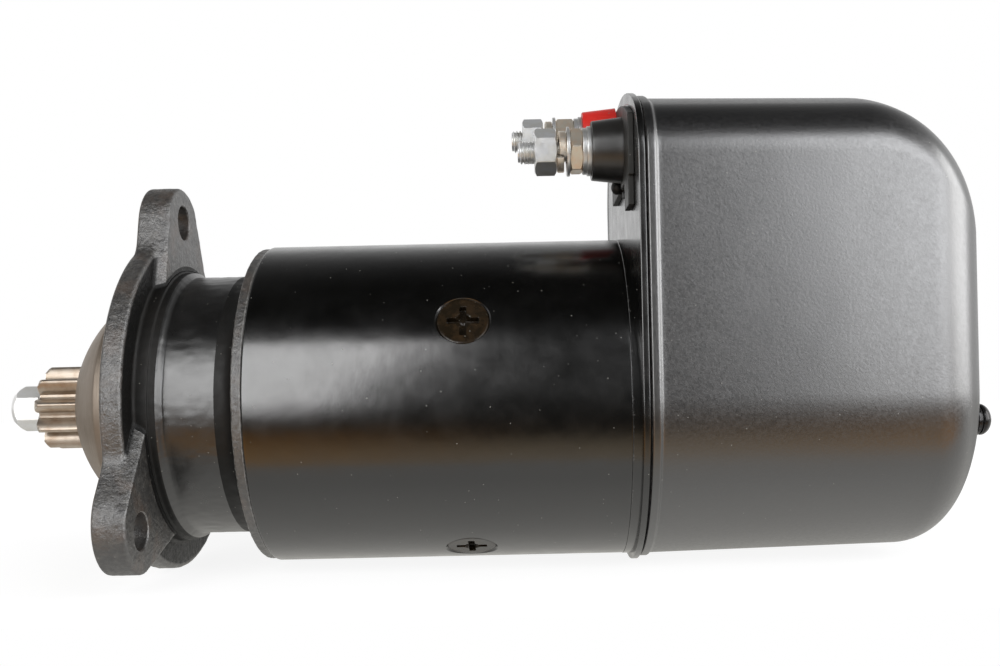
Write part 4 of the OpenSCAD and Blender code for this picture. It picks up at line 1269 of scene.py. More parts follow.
@dataclass
class Yoke:
    """Field tube with its countersunk, cross-slotted pole screws."""

    x: float = 54.3
    end_x: float = 207.5
    r: float = 71.0
    in_r: float = 63.0
    mid_r: float = 67.0
    bevel: float = 0.7
    pole_angle: float = 27.0
    head_r: float = 10.7
    head_sink: float = 0.75
    cone_len: float = 6.0
    thread_r: float = 6.0
    fit: float = 0.05
    foot_r: float = 49.0
    slot_len: float = 13.0
    slot_w: float = 2.8
    slot_d: float = 3.0
    slot_round: float = 0.45
    head_round: float = 0.22
    head_rings: tuple[float, ...] = (9.0, 7.0, 4.0, 0.0)
    point: tuple[Point, ...] = ((-4.6, 0.0), (-1.2, 3.1), (1.0, 3.4), (1.0, 0.0))

    def places(self) -> list[Matrix]:
        """Places the four pole screws, along the axis where their CAD node is.

        Returns:
            Their moves from the origin.
        """
        low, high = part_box("pole_screws")
        x = (low.x + high.x) / 2.0 / MM
        return [Bench.outward(x, self.pole_angle + 90 * i) for i in range(4)]

    def tube(self) -> Piece:
        """Makes the tube with its countersinks.

        Returns:
            The tube.
        """
        b, end = self.bevel, self.end_x
        obj = Bench.turned("yoke_tube", [
            *across(self.x, (self.in_r, self.mid_r, self.r - b)), *arc(self.x + b, self.r - b, b, 170, 90, 4),
            *along(self.r, steps(self.x + 1.5, end - 1.5, 56)),
            *arc(end - b / 2, self.r - b / 2, b / 2, 90, 10, 4),
            *across(end, (self.r - b / 2, self.mid_r, self.in_r)),
            *along(self.in_r, steps(end - 5, self.x + 5, 12)), (self.x, self.in_r)], 320)
        top, cone, gap = self.r - self.head_sink, self.cone_len, self.fit
        tool = Bench.turned("sink_tool", [
            (self.in_r - 2, 0), (self.in_r - 2, self.thread_r + gap), (top - cone, self.thread_r + gap),
            (top, self.head_r + gap), (self.r - 0.62, self.head_r + gap), (self.r + 1.2, self.head_r + 1.6),
            (self.r + 1.2, 0)])
        tools = [Bench.copied(tool, "sink_copy", place) for place in self.places()]
        bpy.data.objects.remove(tool)
        Bench.combine(obj, Bench.joined("sink_tools", tools), Blend.CUT)
        return obj

    def screw(self) -> Piece:
        """Makes one pole screw along +X, as high as it stands over the axis.

        Returns:
            The screw.
        """
        top, cone = self.r - self.head_sink - self.fit, self.cone_len
        foot, r, head = self.foot_r, self.thread_r, self.head_r
        obj = Bench.turned("pole_screw", [
            (foot, 0), (foot, r - 1), (foot + 1, r), (top - cone, r), (top - 0.8, head - 0.25),
            (top - 0.25, head - 0.3), *across(top, (head - 0.7, *self.head_rings))], 72)
        for turn in (0.0, math.pi / 2):
            Bench.clear()
            bpy.ops.mesh.primitive_cube_add(size=1.0, location=(top * MM, 0, 0), rotation=(turn, 0, 0))
            bar = bpy.context.object
            bar.scale = (2 * self.slot_d * MM, self.slot_len * MM, self.slot_w * MM)
            bpy.ops.object.transform_apply(location=True, rotation=True, scale=True)
            Bench.bevel(bar, self.slot_round, segments=3, angle=30.0)
            Bench.combine(obj, bar, Blend.CUT)
        point = Bench.turned("point_tool", [(top + x, r) for x, r in self.point], 48)
        Bench.combine(obj, point, Blend.CUT)
        Bench.bevel(obj, self.head_round, segments=2, angle=50.0)
        return obj

    def build(self) -> None:
        """Builds and hands over the tube and its four screws."""
        hand_over(self.tube(), YOKE_PAINT, ["yoke"], angle=30.0)
        screw = self.screw()
        for number, place in enumerate(self.places(), 1):
            copy = Bench.copied(screw, f"pole_screw_{number}", place)
            hand_over(copy, SCREW_BLACK, ["pole_screws"], wear=0.25)
        bpy.data.objects.remove(screw)


@dataclass
class CapOutline:
    """Upright outline of the rear cap: round below, straight sides, crowned on top.

    The counts are its points below, on a side, on a corner and on the crown.
    """

    half_w: float = 71.3
    top_z: float = 131.5
    corner_r: float = 26.0
    crown_rise: float = 10.5
    low_corner_r: float = 12.0
    corner_share: float = 0.55
    counts: tuple[int, int, int, int] = (104, 26, 24, 44)

    def ring(self, x: float, side: float, crown: float | None = None) -> np.ndarray:
        """Points of the outline at a station.

        Args:
            x: Place along the axis.
            side: How far the sides are drawn in.
            crown: How far the crown is drawn in; as far as the sides if it isn't given.

        Returns:
            Array of (x, y, z) points, in the same order at every station.
        """
        w = self.half_w - side
        top = self.top_z - (side if crown is None else crown)
        share = self.corner_share if side > 0 else 1.0
        r = max(self.corner_r - share * side, self.low_corner_r)
        rise = r + self.crown_rise * (w / self.half_w) ** 2
        corner_y, shoulder = w - r, top - rise
        crown_r = (corner_y ** 2 + rise ** 2 - r ** 2) / (2.0 * (rise - r))
        crown_z = top - crown_r
        lean = math.atan2(shoulder - crown_z, corner_y)
        below, side_n, corner_n, crown_n = self.counts

        def bend(y: float, z: float, radius: float, first: float, last: float, count: int) -> np.ndarray:
            """Points of an arc, without its last one."""
            a = np.linspace(first, last, count, endpoint=False)
            return np.column_stack((y + radius * np.cos(a), z + radius * np.sin(a)))

        rise_up = np.linspace(0.0, shoulder, side_n, endpoint=False)
        points = np.concatenate((
            np.column_stack((np.full(side_n, w), rise_up)),
            bend(corner_y, shoulder, r, 0.0, lean, corner_n),
            bend(0.0, crown_z, crown_r, lean, math.pi - lean, crown_n),
            bend(-corner_y, shoulder, r, math.pi - lean, math.pi, corner_n),
            np.column_stack((np.full(side_n, -w), shoulder - rise_up)),
            bend(0.0, 0.0, w, math.pi, math.tau, below)))
        return np.column_stack((np.full(len(points), x), points))


@dataclass
class EndShield:
    """Commutator end shield: a shouldered plate with a raised border."""

    outline: CapOutline
    yoke_end_x: float = 207.5
    shoulder_r: float = 71.15
    face_x: float = 211.6
    seam_x: float = 214.2
    margin: float = 2.5
    border_w: float = 5.0
    border_h: float = 0.25
    boss_r: float = 24.03
    boss_end_x: float = 226.0
    journal_r: float = 12.6
    bush_r: float = 16.03
    bush_end_x: float = 224.0
    spigot_r: float = 62.95
    spigot_in_r: float = 58.3
    spigot_x: float = 202.0
    bore_span: Point = (200.0, 230.0)
    holes_end_x: float = 220.0
    holes: tuple[tuple[float, float, float], ...] = (
        (-29.0, 106.0, 5.3), (0.0, 117.8, 5.3), (-19.0, 92.0, 4.05), (41.0, -12.7, 3.05),
        (-41.0, -12.7, 3.05))

    def plate(self) -> Piece:
        """Makes the plate with its raised border and rounded edge.

        Returns:
            The plate.
        """
        seam, face, front = self.seam_x, self.face_x, self.face_x - self.border_h
        edge, inner = -self.margin, self.border_w - self.margin
        stations = [
            (seam, 1.6), (seam, edge + 1.0), (seam - 0.15, edge + 0.45), (seam - 0.35, edge + 0.12),
            (seam - 0.6, edge), (face + 0.9, edge), (front + 0.4, edge), (front + 0.12, edge + 0.12),
            (front, edge + 0.4), (front, inner - 0.5), (face, inner), (face, inner + 0.6),
            (face, inner + 4.0), (face, 24.0)]
        return Bench.lofted("end_shield_plate", [self.outline.ring(x, side) for x, side in stations])

    def finish_at(self, x: float, radius: float) -> Finish:
        """Finish by place: the shoulder is painted as the yoke is."""
        shoulder = self.spigot_r + 1.0 < radius < self.shoulder_r + 0.5
        return YOKE_PAINT if x < self.face_x - 0.3 and shoulder else SHIELD_PAINT

    def build(self) -> None:
        """Builds and hands over the shield."""
        obj = self.plate()
        yoke, face, end, bush_end = self.yoke_end_x, self.face_x + 1.0, self.boss_end_x, self.bush_end_x
        hub = Bench.turned("hub", [
            (self.spigot_x, self.spigot_in_r), (self.spigot_x, self.spigot_r), (yoke, self.spigot_r),
            (yoke, self.shoulder_r - 0.15), (yoke + 0.15, self.shoulder_r), (face, self.shoulder_r),
            (face, self.boss_r), (end - 0.8, self.boss_r), (end, self.boss_r - 0.8), (end, self.journal_r),
            (bush_end, self.journal_r), (bush_end, self.bush_r), (yoke, self.bush_r),
            (yoke, self.spigot_in_r), (self.spigot_x, self.spigot_in_r)], 224)
        first, last = self.bore_span
        bore = Bench.turned("bore", [
            (first, 0), (first, self.bush_r), (bush_end, self.bush_r), (bush_end, self.journal_r),
            (last, self.journal_r), (last, 0)])
        Bench.combine(obj, hub, Blend.JOIN)
        tools = [bore]
        tools += [Bench.pin("hole", yoke + 1, self.holes_end_x, r, 48, y, z) for y, z, r in self.holes]
        Bench.combine(obj, Bench.joined("shield_tools", tools), Blend.CUT)
        Bench.paint(obj, (SHIELD_PAINT, YOKE_PAINT), self.finish_at)
        hand_over(obj, SHIELD_PAINT, ["end_shield"], angle=32.0)


@dataclass
class RearCap:
    """Deep-drawn cap with a rolled lip, and the domed nuts that hold it."""

    outline: CapOutline
    x: float = 214.8
    length: float = 137.0
    wall: float = 2.0
    draft: float = 0.019
    side_r: float = 23.0
    crown_len: float = 47.0
    crown_fall: float = 62.0
    lip: float = 1.2
    lip_curve: tuple[Point, ...] = (
        (0.0, 0.8), (0.2, 0.35), (0.5, 0.1), (0.9, 0.0), (2.0, 0.0), (2.9, 0.0), (3.2, 0.07), (3.5, 0.25),
        (3.85, 0.6), (4.2, 0.95), (4.5, 1.16))
    skirt_curve: tuple[Point, ...] = ((4.9, 0.08), (6.5, 0.12), (10.0, 0.19))
    wall_span: Point = (14.0, 86.0)
    back_shares: tuple[float, ...] = (0.92, 0.75, 0.5, 0.25, 0.06)
    stud_y: float = 41.0
    stud_z: float = -12.7
    stud_r: float = 3.05
    nut_r: float = 6.7
    nut_h: float = 7.0
    nut_crown: float = 2.5
    nut_rim: tuple[Point, ...] = (
        (0.0, 0.3), (0.25, 0.0), (1.25, 0.0), (1.6, 0.25), (1.7, 0.9), (2.1, 0.9), (2.3, 0.3))
    dome_from: float = 2.6
    washer_t: float = 1.0

    def drawn_in(self, x: float, length: float, fall: float) -> float:
        """How far the cap is drawn in at x behind its mouth."""
        share = min(1.0, max(0.0, x - self.length + length) / length)
        return self.draft * x + fall * (1.0 - math.sqrt(1.0 - share * share))

    def shell(self) -> Piece:
        """Makes the cap's wall with its lip, its rounded back and its two stud holes.

        Returns:
            The wall.
        """
        mouth = [*((x, side - self.lip) for x, side in self.lip_curve), *self.skirt_curve]
        rings = [self.outline.ring(self.x + x, side) for x, side in mouth]
        bend = [self.length - self.crown_len * (1.0 - math.sin(a)) for a in np.radians(steps(0, 90, 30))]
        for x in steps(*self.wall_span, 13) + bend:
            rings.append(self.outline.ring(
                self.x + x, self.drawn_in(x, self.side_r, self.side_r),
                self.drawn_in(x, self.crown_len, self.crown_fall)))
        centre = rings[-1].mean(axis=0)
        rings += [centre + (rings[-1] - centre) * share for share in self.back_shares]
        obj = Bench.lofted("rear_cap_shell", rings, ends=False)
        self.close_back(obj, centre, 2.0 * np.linalg.norm(rings[-1] - centre, axis=1).max())
        Bench.finish_with(obj, "SOLIDIFY", thickness=self.wall * MM, offset=-1.0, use_even_offset=True)
        end = self.x + self.length
        tools = [Bench.pin("stud_tool", end - 6, end + 3, self.stud_r, 40, side * self.stud_y, self.stud_z)
                 for side in (-1, 1)]
        Bench.combine(obj, Bench.joined("stud_tools", tools), Blend.CUT)
        return obj

    @staticmethod
    def close_back(obj: Piece, centre: np.ndarray, reach: float) -> None:
        """Fills the small ring that is left in the middle of the cap's back.

        Args:
            obj: The open shell.
            centre: Middle of the ring in millimetres.
            reach: Distance from the middle within which only the ring lies.
        """
        rim = np.linalg.norm(Bench.coords(obj) - centre * MM, axis=1) < reach * MM
        with Bench.editing(obj):
            bpy.ops.mesh.select_mode(type="VERT")
            bpy.ops.mesh.select_all(action="DESELECT")
        obj.data.vertices.foreach_set("select", rim)
        bpy.ops.object.mode_set(mode="EDIT")
        bpy.ops.mesh.select_mode(type="VERT")
        bpy.ops.mesh.edge_face_add()
        bpy.ops.object.mode_set(mode="OBJECT")
        Bench.tidy(obj)

    def nut(self) -> Piece:
        """Makes one domed nut with its groove and its blind bore, at the cap's back.

        Returns:
            The nut, on the axis.
        """
        x, r, h, bore = self.x + self.length + self.washer_t, self.nut_r, self.nut_h, self.stud_r
        deep, low = h - self.nut_crown, self.dome_from
        rim = [(x + behind, r - inset) for behind, inset in self.nut_rim]
        dome = [(x + low + (h - low) * math.sin(a), (r - 0.1) * math.cos(a))
                for a in np.radians(steps(4, 84, 12))]
        return Bench.turned("cap_nut", [
            (x + deep, 0.0), (x + deep, bore), (x, bore), *rim, *dome, (x + h, 0.35), (x + h, 0.0)], 64)

    def gasket(self) -> Piece:
        """Makes the gasket, which stands back in the seam before the cap's mouth.

        Returns:
            The gasket.
        """
        low, high = (corner.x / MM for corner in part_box("cap_gasket"))
        stations = [(low, 0.4), (high, 0.4), (high, self.wall + 1.5), (low, self.wall + 1.5), (low, 0.4)]
        rings = [self.outline.ring(x, side) for x, side in stations]
        return Bench.lofted("cap_gasket_ring", rings, ends=False)

    def build(self) -> None:
        """Builds and hands over the cap, its gasket, its washers and its nuts."""
        hand_over(self.gasket(), RUBBER, ["cap_gasket"])
        hand_over(self.shell(), CAP_PAINT, ["rear_cap"], angle=30.0)
        end, r, t = self.x + self.length, self.nut_r, self.washer_t
        nut = self.nut()
        washer = Bench.turned("cap_washer", [
            (end, self.stud_r), (end, r - 0.25), (end + 0.25, r), (end + t - 0.25, r), (end + t, r - 0.25),
            (end + t, self.stud_r), (end, self.stud_r)], 64)
        for side, word in ((-1, "near"), (1, "far")):
            place = Matrix.Translation((0.0, side * self.stud_y * MM, self.stud_z * MM))
            for pattern, kind in ((nut, "cap_nut"), (washer, "cap_washer")):
                copy = Bench.copied(pattern, f"{kind}_{word}", place)
                hand_over(copy, BLACK_ZINC, [f"{kind}s"])
        for pattern in (nut, washer):
            bpy.data.objects.remove(pattern)


@dataclass
class Terminal:
    """One terminal: stud, nuts, washers and the insulator that carries them.

    The insulator is longer by lift, and the stud stands out of its top nut by tip.
    """

    name: str
    y: float
    z: float
    lift: float
    lock_t: float
    tip: float
    insulator_finish: Finish
    insulator_slot: str
    top_turn: float = 6.0
    lock_turn: float = 30.0
    split_angle: float = -24.0
    base_x: float = 209.1
    insulator_len: float = 13.0
    insulator_front_r: float = 12.5
    insulator_r: float = 14.0
    post_r: float = 5.0
    shank_r: float = 4.3
    pitch: float = 1.5
    thread_d: float = 0.85
    thread_in: float = 4.0
    shank_lap: float = 2.0
    lead: float = 1.0
    lead_slope: float = 0.9
    head_x: float = 226.0
    head_t: float = 4.0
    head_r: float = 9.0
    nut_af: float = 17.6
    top_nut_t: float = 9.5
    flat_t: float = 1.9
    thin_t: float = 1.4
    split_t: float = 4.3
    washer_margin: float = 1.7
    fit: float = 0.05

    def stations(self) -> dict[str, float]:
        """Stacks the pieces along the axis.

        Returns:
            Their front ends by name.
        """
        washer = self.base_x - self.insulator_len - self.lift - self.flat_t
        collar = washer - self.flat_t
        lock = collar - self.lock_t
        thin = lock - self.thin_t
        split = thin - self.split_t
        return {"insulator": washer + self.flat_t, "washer": washer, "collar": collar, "lock": lock,
                "thin": thin, "split": split, "top": split - self.top_nut_t}

    def stud(self) -> Piece:
        """Makes the stud with a real thread on its free end and a head behind the shield.

        Returns:
            The stud, on the axis.
        """
        nut_x = self.stations()["top"]
        tip_x, end_x = nut_x - self.tip, nut_x + self.thread_in
        root, p = self.post_r - self.thread_d, self.pitch
        turns = int((end_x - tip_x) / p) + 3
        thread = Bench.thread("thread", tip_x - p, p, turns, root, self.post_r - self.fit)
        for x, side in ((tip_x, True), (end_x, False)):
            Bench.trim(thread, x, side)
        places = Bench.coords(thread) / MM
        radius = np.hypot(places[:, 1], places[:, 2])
        cone = self.post_r - self.lead + (places[:, 0] - tip_x) * self.lead_slope
        limit = np.minimum(self.post_r, cone)
        places[:, 1:] *= np.minimum(1.0, limit / np.maximum(radius, 1e-6))[:, None]
        Bench.shape(thread, places * MM)
        first, thin = end_x - self.shank_lap, self.shank_r - 0.1
        head, last = self.head_x, self.head_x + self.head_t
        shank = Bench.turned("shank", [
            (first, 0), (first, thin), (head, thin), (head, self.head_r - 0.4), (head + 0.4, self.head_r),
            (last - 0.6, self.head_r), (last, self.head_r - 0.6), (last, 0)], 48)
        return Bench.joined(f"{self.name}_stud", [thread, shank])

    def nut(self, name: str, x: float, t: float, turn: float) -> Piece:
        """A hexagonal nut with rounded corners and a cone on both faces, on the axis."""
        face = (self.nut_af / 2 - 0.25, 1.0)
        return Bench.hexagon(name, x, t, self.nut_af, self.shank_r + self.fit, face, face, turn)

    def washer(self, name: str, x: float, t: float, r: float) -> Piece:
        """Makes a flat washer with rounded edges.

        Args:
            name: Its name.
            x: Place of its front face.
            t: Its thickness.
            r: Its radius.

        Returns:
            The washer, on the axis.
        """
        b, bore, end = min(0.3, t / 4), self.post_r + self.fit, x + t
        c = b * 0.3
        return Bench.turned(name, [
            (x, bore + b), (x, r - b), (x + c, r - c), (x + b, r), (end - b, r), (end - c, r - c),
            (end, r - b), (end, bore + b), (end - b, bore), (x + b, bore), (x, bore + b)], 80)

    def split_washer(self, name: str, x: float) -> Piece:
        """Makes a spring washer whose cut ends stand apart.

        Args:
            name: Its name.
            x: Where it starts.

        Returns:
            The washer, on the axis.
        """
        rise, gap, b = 1.25, 9.0, 0.35
        t, low, high = self.split_t - rise, self.post_r + self.fit, self.nut_af / 2
        section = [(b, low), (t - b, low), (t, low + b), (t, high - b), (t - b, high), (b, high),
                   (0, high - b), (0, low + b)]
        rings = []
        for share in steps(0.0, 1.0, 73):
            a = math.radians(self.split_angle + gap / 2 + (360.0 - gap) * share)
            rings.append(np.array([(x + rise * (1.0 - share) + u, -r * math.cos(a), r * math.sin(a))
                                   for u, r in section]))
        return Bench.lofted(name, rings)

    def insulator(self) -> Piece:
        """Makes the tapered insulator with a rounded front edge and a short straight foot.

        Returns:
            The insulator, on the axis.
        """
        x, end = self.stations()["insulator"], self.base_x
        bore, r0, r1 = self.post_r + self.fit, self.insulator_front_r, self.insulator_r
        return Bench.turned(f"{self.name}_insulator_body", [
            (x, bore), (x, r0 - 2.2), (x, r0 - 0.6), *arc(x + 0.4, r0 - 0.4, 0.4, 170, 95, 4),
            *[(u, r0 + (r1 - r0) * (u - x) / (end - x)) for u in steps(x + 1.2, end - 1.2, 8)],
            (end - 0.5, r1), (end, r1), (end, bore), (x, bore)], 112)

    def build(self) -> None:
        """Builds and hands over the terminal's pieces."""
        at, flat_r = self.stations(), self.nut_af / 2 + self.washer_margin
        place = Matrix.Translation((0.0, self.y * MM, self.z * MM))
        nuts = (("top_nut", at["top"], self.top_nut_t, self.top_turn, ZINC),
                ("lock_nut", at["lock"], self.lock_t, self.lock_turn, YELLOW_ZINC))
        washers = (("thin_washer", at["thin"], self.thin_t, flat_r),
                   ("collar", at["collar"], self.flat_t, flat_r - 0.6),
                   ("foot_washer", at["washer"], self.flat_t, flat_r))
        stack = [(self.stud(), ZINC, f"{self.name}_post")]
        stack += [(self.nut(f"{self.name}_{word}", x, t, turn), finish, "terminal_nuts")
                  for word, x, t, turn, finish in nuts]
        split = self.split_washer(f"{self.name}_split_washer", at["split"])
        stack.append((split, YELLOW_ZINC, "spring_washers"))
        stack += [(self.washer(f"{self.name}_{word}", x, t, r), ZINC, "terminal_washers")
                  for word, x, t, r in washers]
        for piece, finish, node in stack:
            piece.data.transform(place)
            hand_over(piece, finish, [node])
        body = self.insulator()
        body.data.transform(place)
        hand_over(body, self.insulator_finish, [f"{self.name}_insulator"])


@dataclass
class TerminalPlate:
    """Moulded base plate under the terminals and the small plug beside it."""

    edge: float = 0.5
    plug_y: float = -19.0
    plug_z: float = 92.0
    plug_r: float = 4.0
    plug_neck_r: float = 2.2
    flange_t: float = 1.0
    flange_w: float = 1.0
    ball_len: float = 2.6
    ball_r: float = 3.1
    face_x: float = 211.6
    shield_t: float = 2.6

    def base(self) -> Piece:
        """Makes the base plate from a merged copy of its CAD mesh, with rounded edges.

        Returns:
            The plate.
        """
        obj = Bench.copied(frame["nodes"]["terminal_base"], "terminal_base_plate", Matrix.Identity(4))
        obj.parent = None
        for key in list(obj.keys()):
            del obj[key]
        obj.data.materials.clear()
        Bench.tidy(obj)
        with Bench.editing(obj):
            bpy.ops.mesh.dissolve_limited(angle_limit=math.radians(3))
        Bench.bevel(obj, self.edge, segments=3, angle=40.0)
        return obj

    def plug(self) -> Piece:
        """Makes the plug: a flanged bush with a ball-shaped end.

        Returns:
            The plug.
        """
        x, r, front, wide = self.face_x, self.plug_r, self.face_x - self.flange_t, self.plug_r + self.flange_w
        ball = [(front - self.ball_len - self.ball_len * math.cos(a), self.ball_r * math.sin(a))
                for a in np.radians(steps(0, 140, 14))]
        return Bench.turned("control_plug_body", [
            *ball, (front, self.plug_neck_r), (front, wide - 0.3), (front + 0.3, wide), (x - 0.2, wide),
            (x, wide - 0.2), (x, r), (x + self.shield_t, r), (x + self.shield_t, 0)],
            48, self.plug_y, self.plug_z)

    def build(self) -> None:
        """Builds and hands over the plate and the plug."""
        hand_over(self.base(), BASE_MOULDING, ["terminal_base"])
        hand_over(self.plug(), RUBBER, ["control_plug"])


@dataclass
class Pinion:
    """Overhung pinion with its washer and nut."""

    x: float = -52.0
    length: float = 34.0
    teeth: int = 10
    module: float = 3.0
    shift: float = 0.5
    addendum: float = 0.9
    dedendum: float = 1.2
    pressure: float = math.radians(20.0)
    turn: float = 5.0
    front_cone: tuple[Point, ...] = ((0.0, 2.0), (0.8, 1.1), (1.5, 0.4), (2.2, 0.0))
    rear_cone: tuple[Point, ...] = ((0.8, 0.0), (0.2, 0.3), (0.0, 0.6))
    bore_lead: float = 0.5
    bore_r: float = 9.05
    washer_t: float = 1.5
    nut_af: float = 18.0
    nut_len: float = 13.6
    thread_r: float = 6.0

    def outline(self) -> np.ndarray:
        """Draws the teeth, from the one nearest to -Y.

        Returns:
            Outline as (y, z) points.
        """
        pitch_r = self.module * self.teeth / 2.0
        base_r = pitch_r * math.cos(self.pressure)
        tip_r = pitch_r + self.module * (self.addendum + self.shift)
        root_r = pitch_r - self.module * (self.dedendum - self.shift)
        low = max(root_r, base_r)

        def half(r: float) -> float:
            """Halves a tooth's thickness.

            Args:
                r: Radius at which it is taken.

            Returns:
                The half as an angle in radians.
            """
            a = math.acos(min(1.0, base_r / r))
            return (math.pi / 2 / self.teeth + 2 * self.shift * math.tan(self.pressure) / self.teeth
                    + math.tan(self.pressure) - self.pressure - math.tan(a) + a)

        flank = [(r, half(r)) for r in steps(low, tip_r - 0.25, 9)] + [(tip_r - 0.05, half(tip_r) - 0.012)]
        foot = half(low)
        gap = math.pi / self.teeth
        left = [(root_r, gap * 0.999), (root_r + 0.05, 0.55 * (gap + foot)), (root_r + 0.25, foot + 0.02),
                *flank]
        points = []
        for i in range(self.teeth):
            middle = math.radians(-self.turn) + math.tau * i / self.teeth
            half_set = [(r, middle - h) for r, h in left] + [(tip_r, middle)]
            half_set += [(r, middle + h) for r, h in reversed(left[1:])]
            points += [(-r * math.cos(a), -r * math.sin(a)) for r, a in half_set]
        return np.array(points)

    def gear(self) -> Piece:
        """Makes the toothed wheel with chamfered teeth, bored for its shaft.

        Returns:
            The wheel.
        """
        outline = self.outline()
        radius = np.hypot(*outline.T)
        tip, n = float(radius.max()), len(outline)
        turn = np.arctan2(outline[:, 1], outline[:, 0])
        bore = np.column_stack((np.cos(turn), np.sin(turn))) * self.bore_r
        rings = []

        def station(x: float, points: np.ndarray) -> None:
            """Adds one ring of the wheel."""
            rings.append(np.column_stack((np.full(n, self.x + x), points)))

        lead, end = self.bore_lead, self.length
        mouth = bore * (1.0 + lead / self.bore_r)
        station(lead, bore)
        station(0.0, mouth)
        limits = [(x, tip - cut) for x, cut in self.front_cone]
        limits += [(x, tip) for x in steps(5.0, end - 3.0, 8)]
        limits += [(end - x, tip - cut) for x, cut in self.rear_cone]
        for x, limit in limits:
            station(x, outline * np.minimum(1.0, limit / radius)[:, None])
        station(end, mouth)
        station(end - lead, bore)
        rings.append(rings[0])
        return Bench.lofted("pinion_gear", rings, ends=False)

    def build(self) -> None:
        """Builds and hands over the wheel, the washer and the nut."""
        hand_over(self.gear(), TOOTH_STEEL, ["pinion"], body="pinion", angle=28.0, wear=0.3)
        x, t, r = self.x - self.washer_t, self.washer_t, self.nut_af / 2 + 1.0
        bore = self.thread_r + 0.05
        washer = Bench.turned("pinion_lock_washer", [
            (x, bore), (x, r - 0.3), (x + 0.3, r), (x + t - 0.3, r), (x + t, r - 0.3), (x + t, bore),
            (x, bore)], 80)
        hand_over(washer, BRIGHT_ZINC, ["pinion_washer"], body="pinion")
        nut = Bench.hexagon("pinion_hex_nut", x - self.nut_len, self.nut_len, self.nut_af, bore,
                            (self.nut_af / 2 - 1.6, self.nut_len / 4), (self.nut_af / 2 - 0.25, 1.0))
        hand_over(nut, BRIGHT_ZINC, ["pinion_nut"], body="pinion")


@dataclass
class Springs:
    """Coil springs at full length, with the shares of their lengths that they would keep, which are not used.
    """

    return_x: float = 252.05
    return_len: float = 21.9
    return_r: float = 8.0
    return_wire_r: float = 1.0
    return_turns: float = 5.0
    return_keep: float = 0.084
    brush_x: float = 196.6
    brush_from: float = 44.525
    brush_len: float = 4.9
    brush_r: float = 3.4
    brush_wire_r: float = 0.6
    brush_turns: float = 2.0
    brush_keep: float = 0.38
    brush_angles: tuple[float, ...] = (72.0, 162.0, 252.0, 342.0)

    @staticmethod
    def coil(name: str, x: float, length: float, r: float, wire_r: float, turns: float) -> Piece:
        """A coil of round wire along the axis.

        Args:
            name: Name of the object.
            x: Where it starts.
            length: Its length, wire included.
            r: Radius of the wire's middle line.
            wire_r: Radius of the wire.
            turns: Number of turns.

        Returns:
            The coil.
        """
        axis, rings = np.array((1.0, 0.0, 0.0)), []
        for share in steps(0.0, 1.0, int(24 * turns) + 1):
            a = share * turns * math.tau
            out = np.array((0.0, math.cos(a), math.sin(a)))
            middle = (x + wire_r + (length - 2.0 * wire_r) * share) * axis + r * out
            rings.append(np.array([middle + wire_r * (math.cos(b) * out + math.sin(b) * axis)
                                   for b in np.radians(steps(0.0, 315.0, 8))]))
        return Bench.lofted(name, rings)

    def build(self) -> None:
        """Builds and hands over the return spring and the four brush springs."""
        steel = SLOT_FINISHES["spring_steel"]
        spring = self.coil("return_spring_coil", self.return_x, self.return_len, self.return_r,
                           self.return_wire_r, self.return_turns)
        hand_over(spring, steel, ["return_spring"])
        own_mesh(spring)
        pattern = self.coil("brush_spring_pattern", self.brush_from, self.brush_len, self.brush_r,
                            self.brush_wire_r, self.brush_turns)
        for number, angle in enumerate(self.brush_angles, 1):
            move = Bench.outward(self.brush_x, angle)
            spring = Bench.copied(pattern, f"brush_spring_{number}", move)
            hand_over(spring, steel, ["brush_springs"])
            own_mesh(spring)
        bpy.data.objects.remove(pattern)


class Inside:
    """The pieces inside, which keep their CAD meshes."""

    def build(self) -> None:
        """Gives every CAD node that still shows the finish of its slot."""
        slots = {row["node"]: row["material_slot"] for row in frame["record"]["subparts"]}
        for name, node in frame["nodes"].items():
            if node.hide_render:
                continue
            finish = SLOT_FINISHES[slots[name]]
            node.data.materials.clear()
            node.data.materials.append(finish.material())
            LOG.info("%s: CAD mesh, %s", name, finish.name)


FRONT_STUDIO = (
    (0.0, (0.75, 0.74, 0.72)), (0.12, (0.6, 0.58, 0.54)), (0.155, (0.66, 0.55, 0.42)),
    (0.22, (0.5, 0.41, 0.29)), (0.30, (0.03, 0.028, 0.025)), (0.49, grey(0.03)), (0.54, grey(0.1)),
    (0.80, grey(0.03)), (0.90, grey(0.006)))
SIDE_STUDIO = (
    (0.0, (0.75, 0.74, 0.72)), (0.12, (0.7, 0.55, 0.4)), (0.2, (0.92, 0.5, 0.18)),
    (0.31, (0.7, 0.34, 0.1)), (0.38, (0.08, 0.07, 0.06)), (0.54, grey(0.1)), (0.90, grey(0.006)))
BACK_STUDIO = (
    (0.0, grey(0.8)), (0.5, grey(1.0)), (0.74, grey(1.0)), (0.82, grey(0.5)), (0.925, grey(0.15)),
    (0.978, grey(0.05)), (1.0, grey(0.01)))


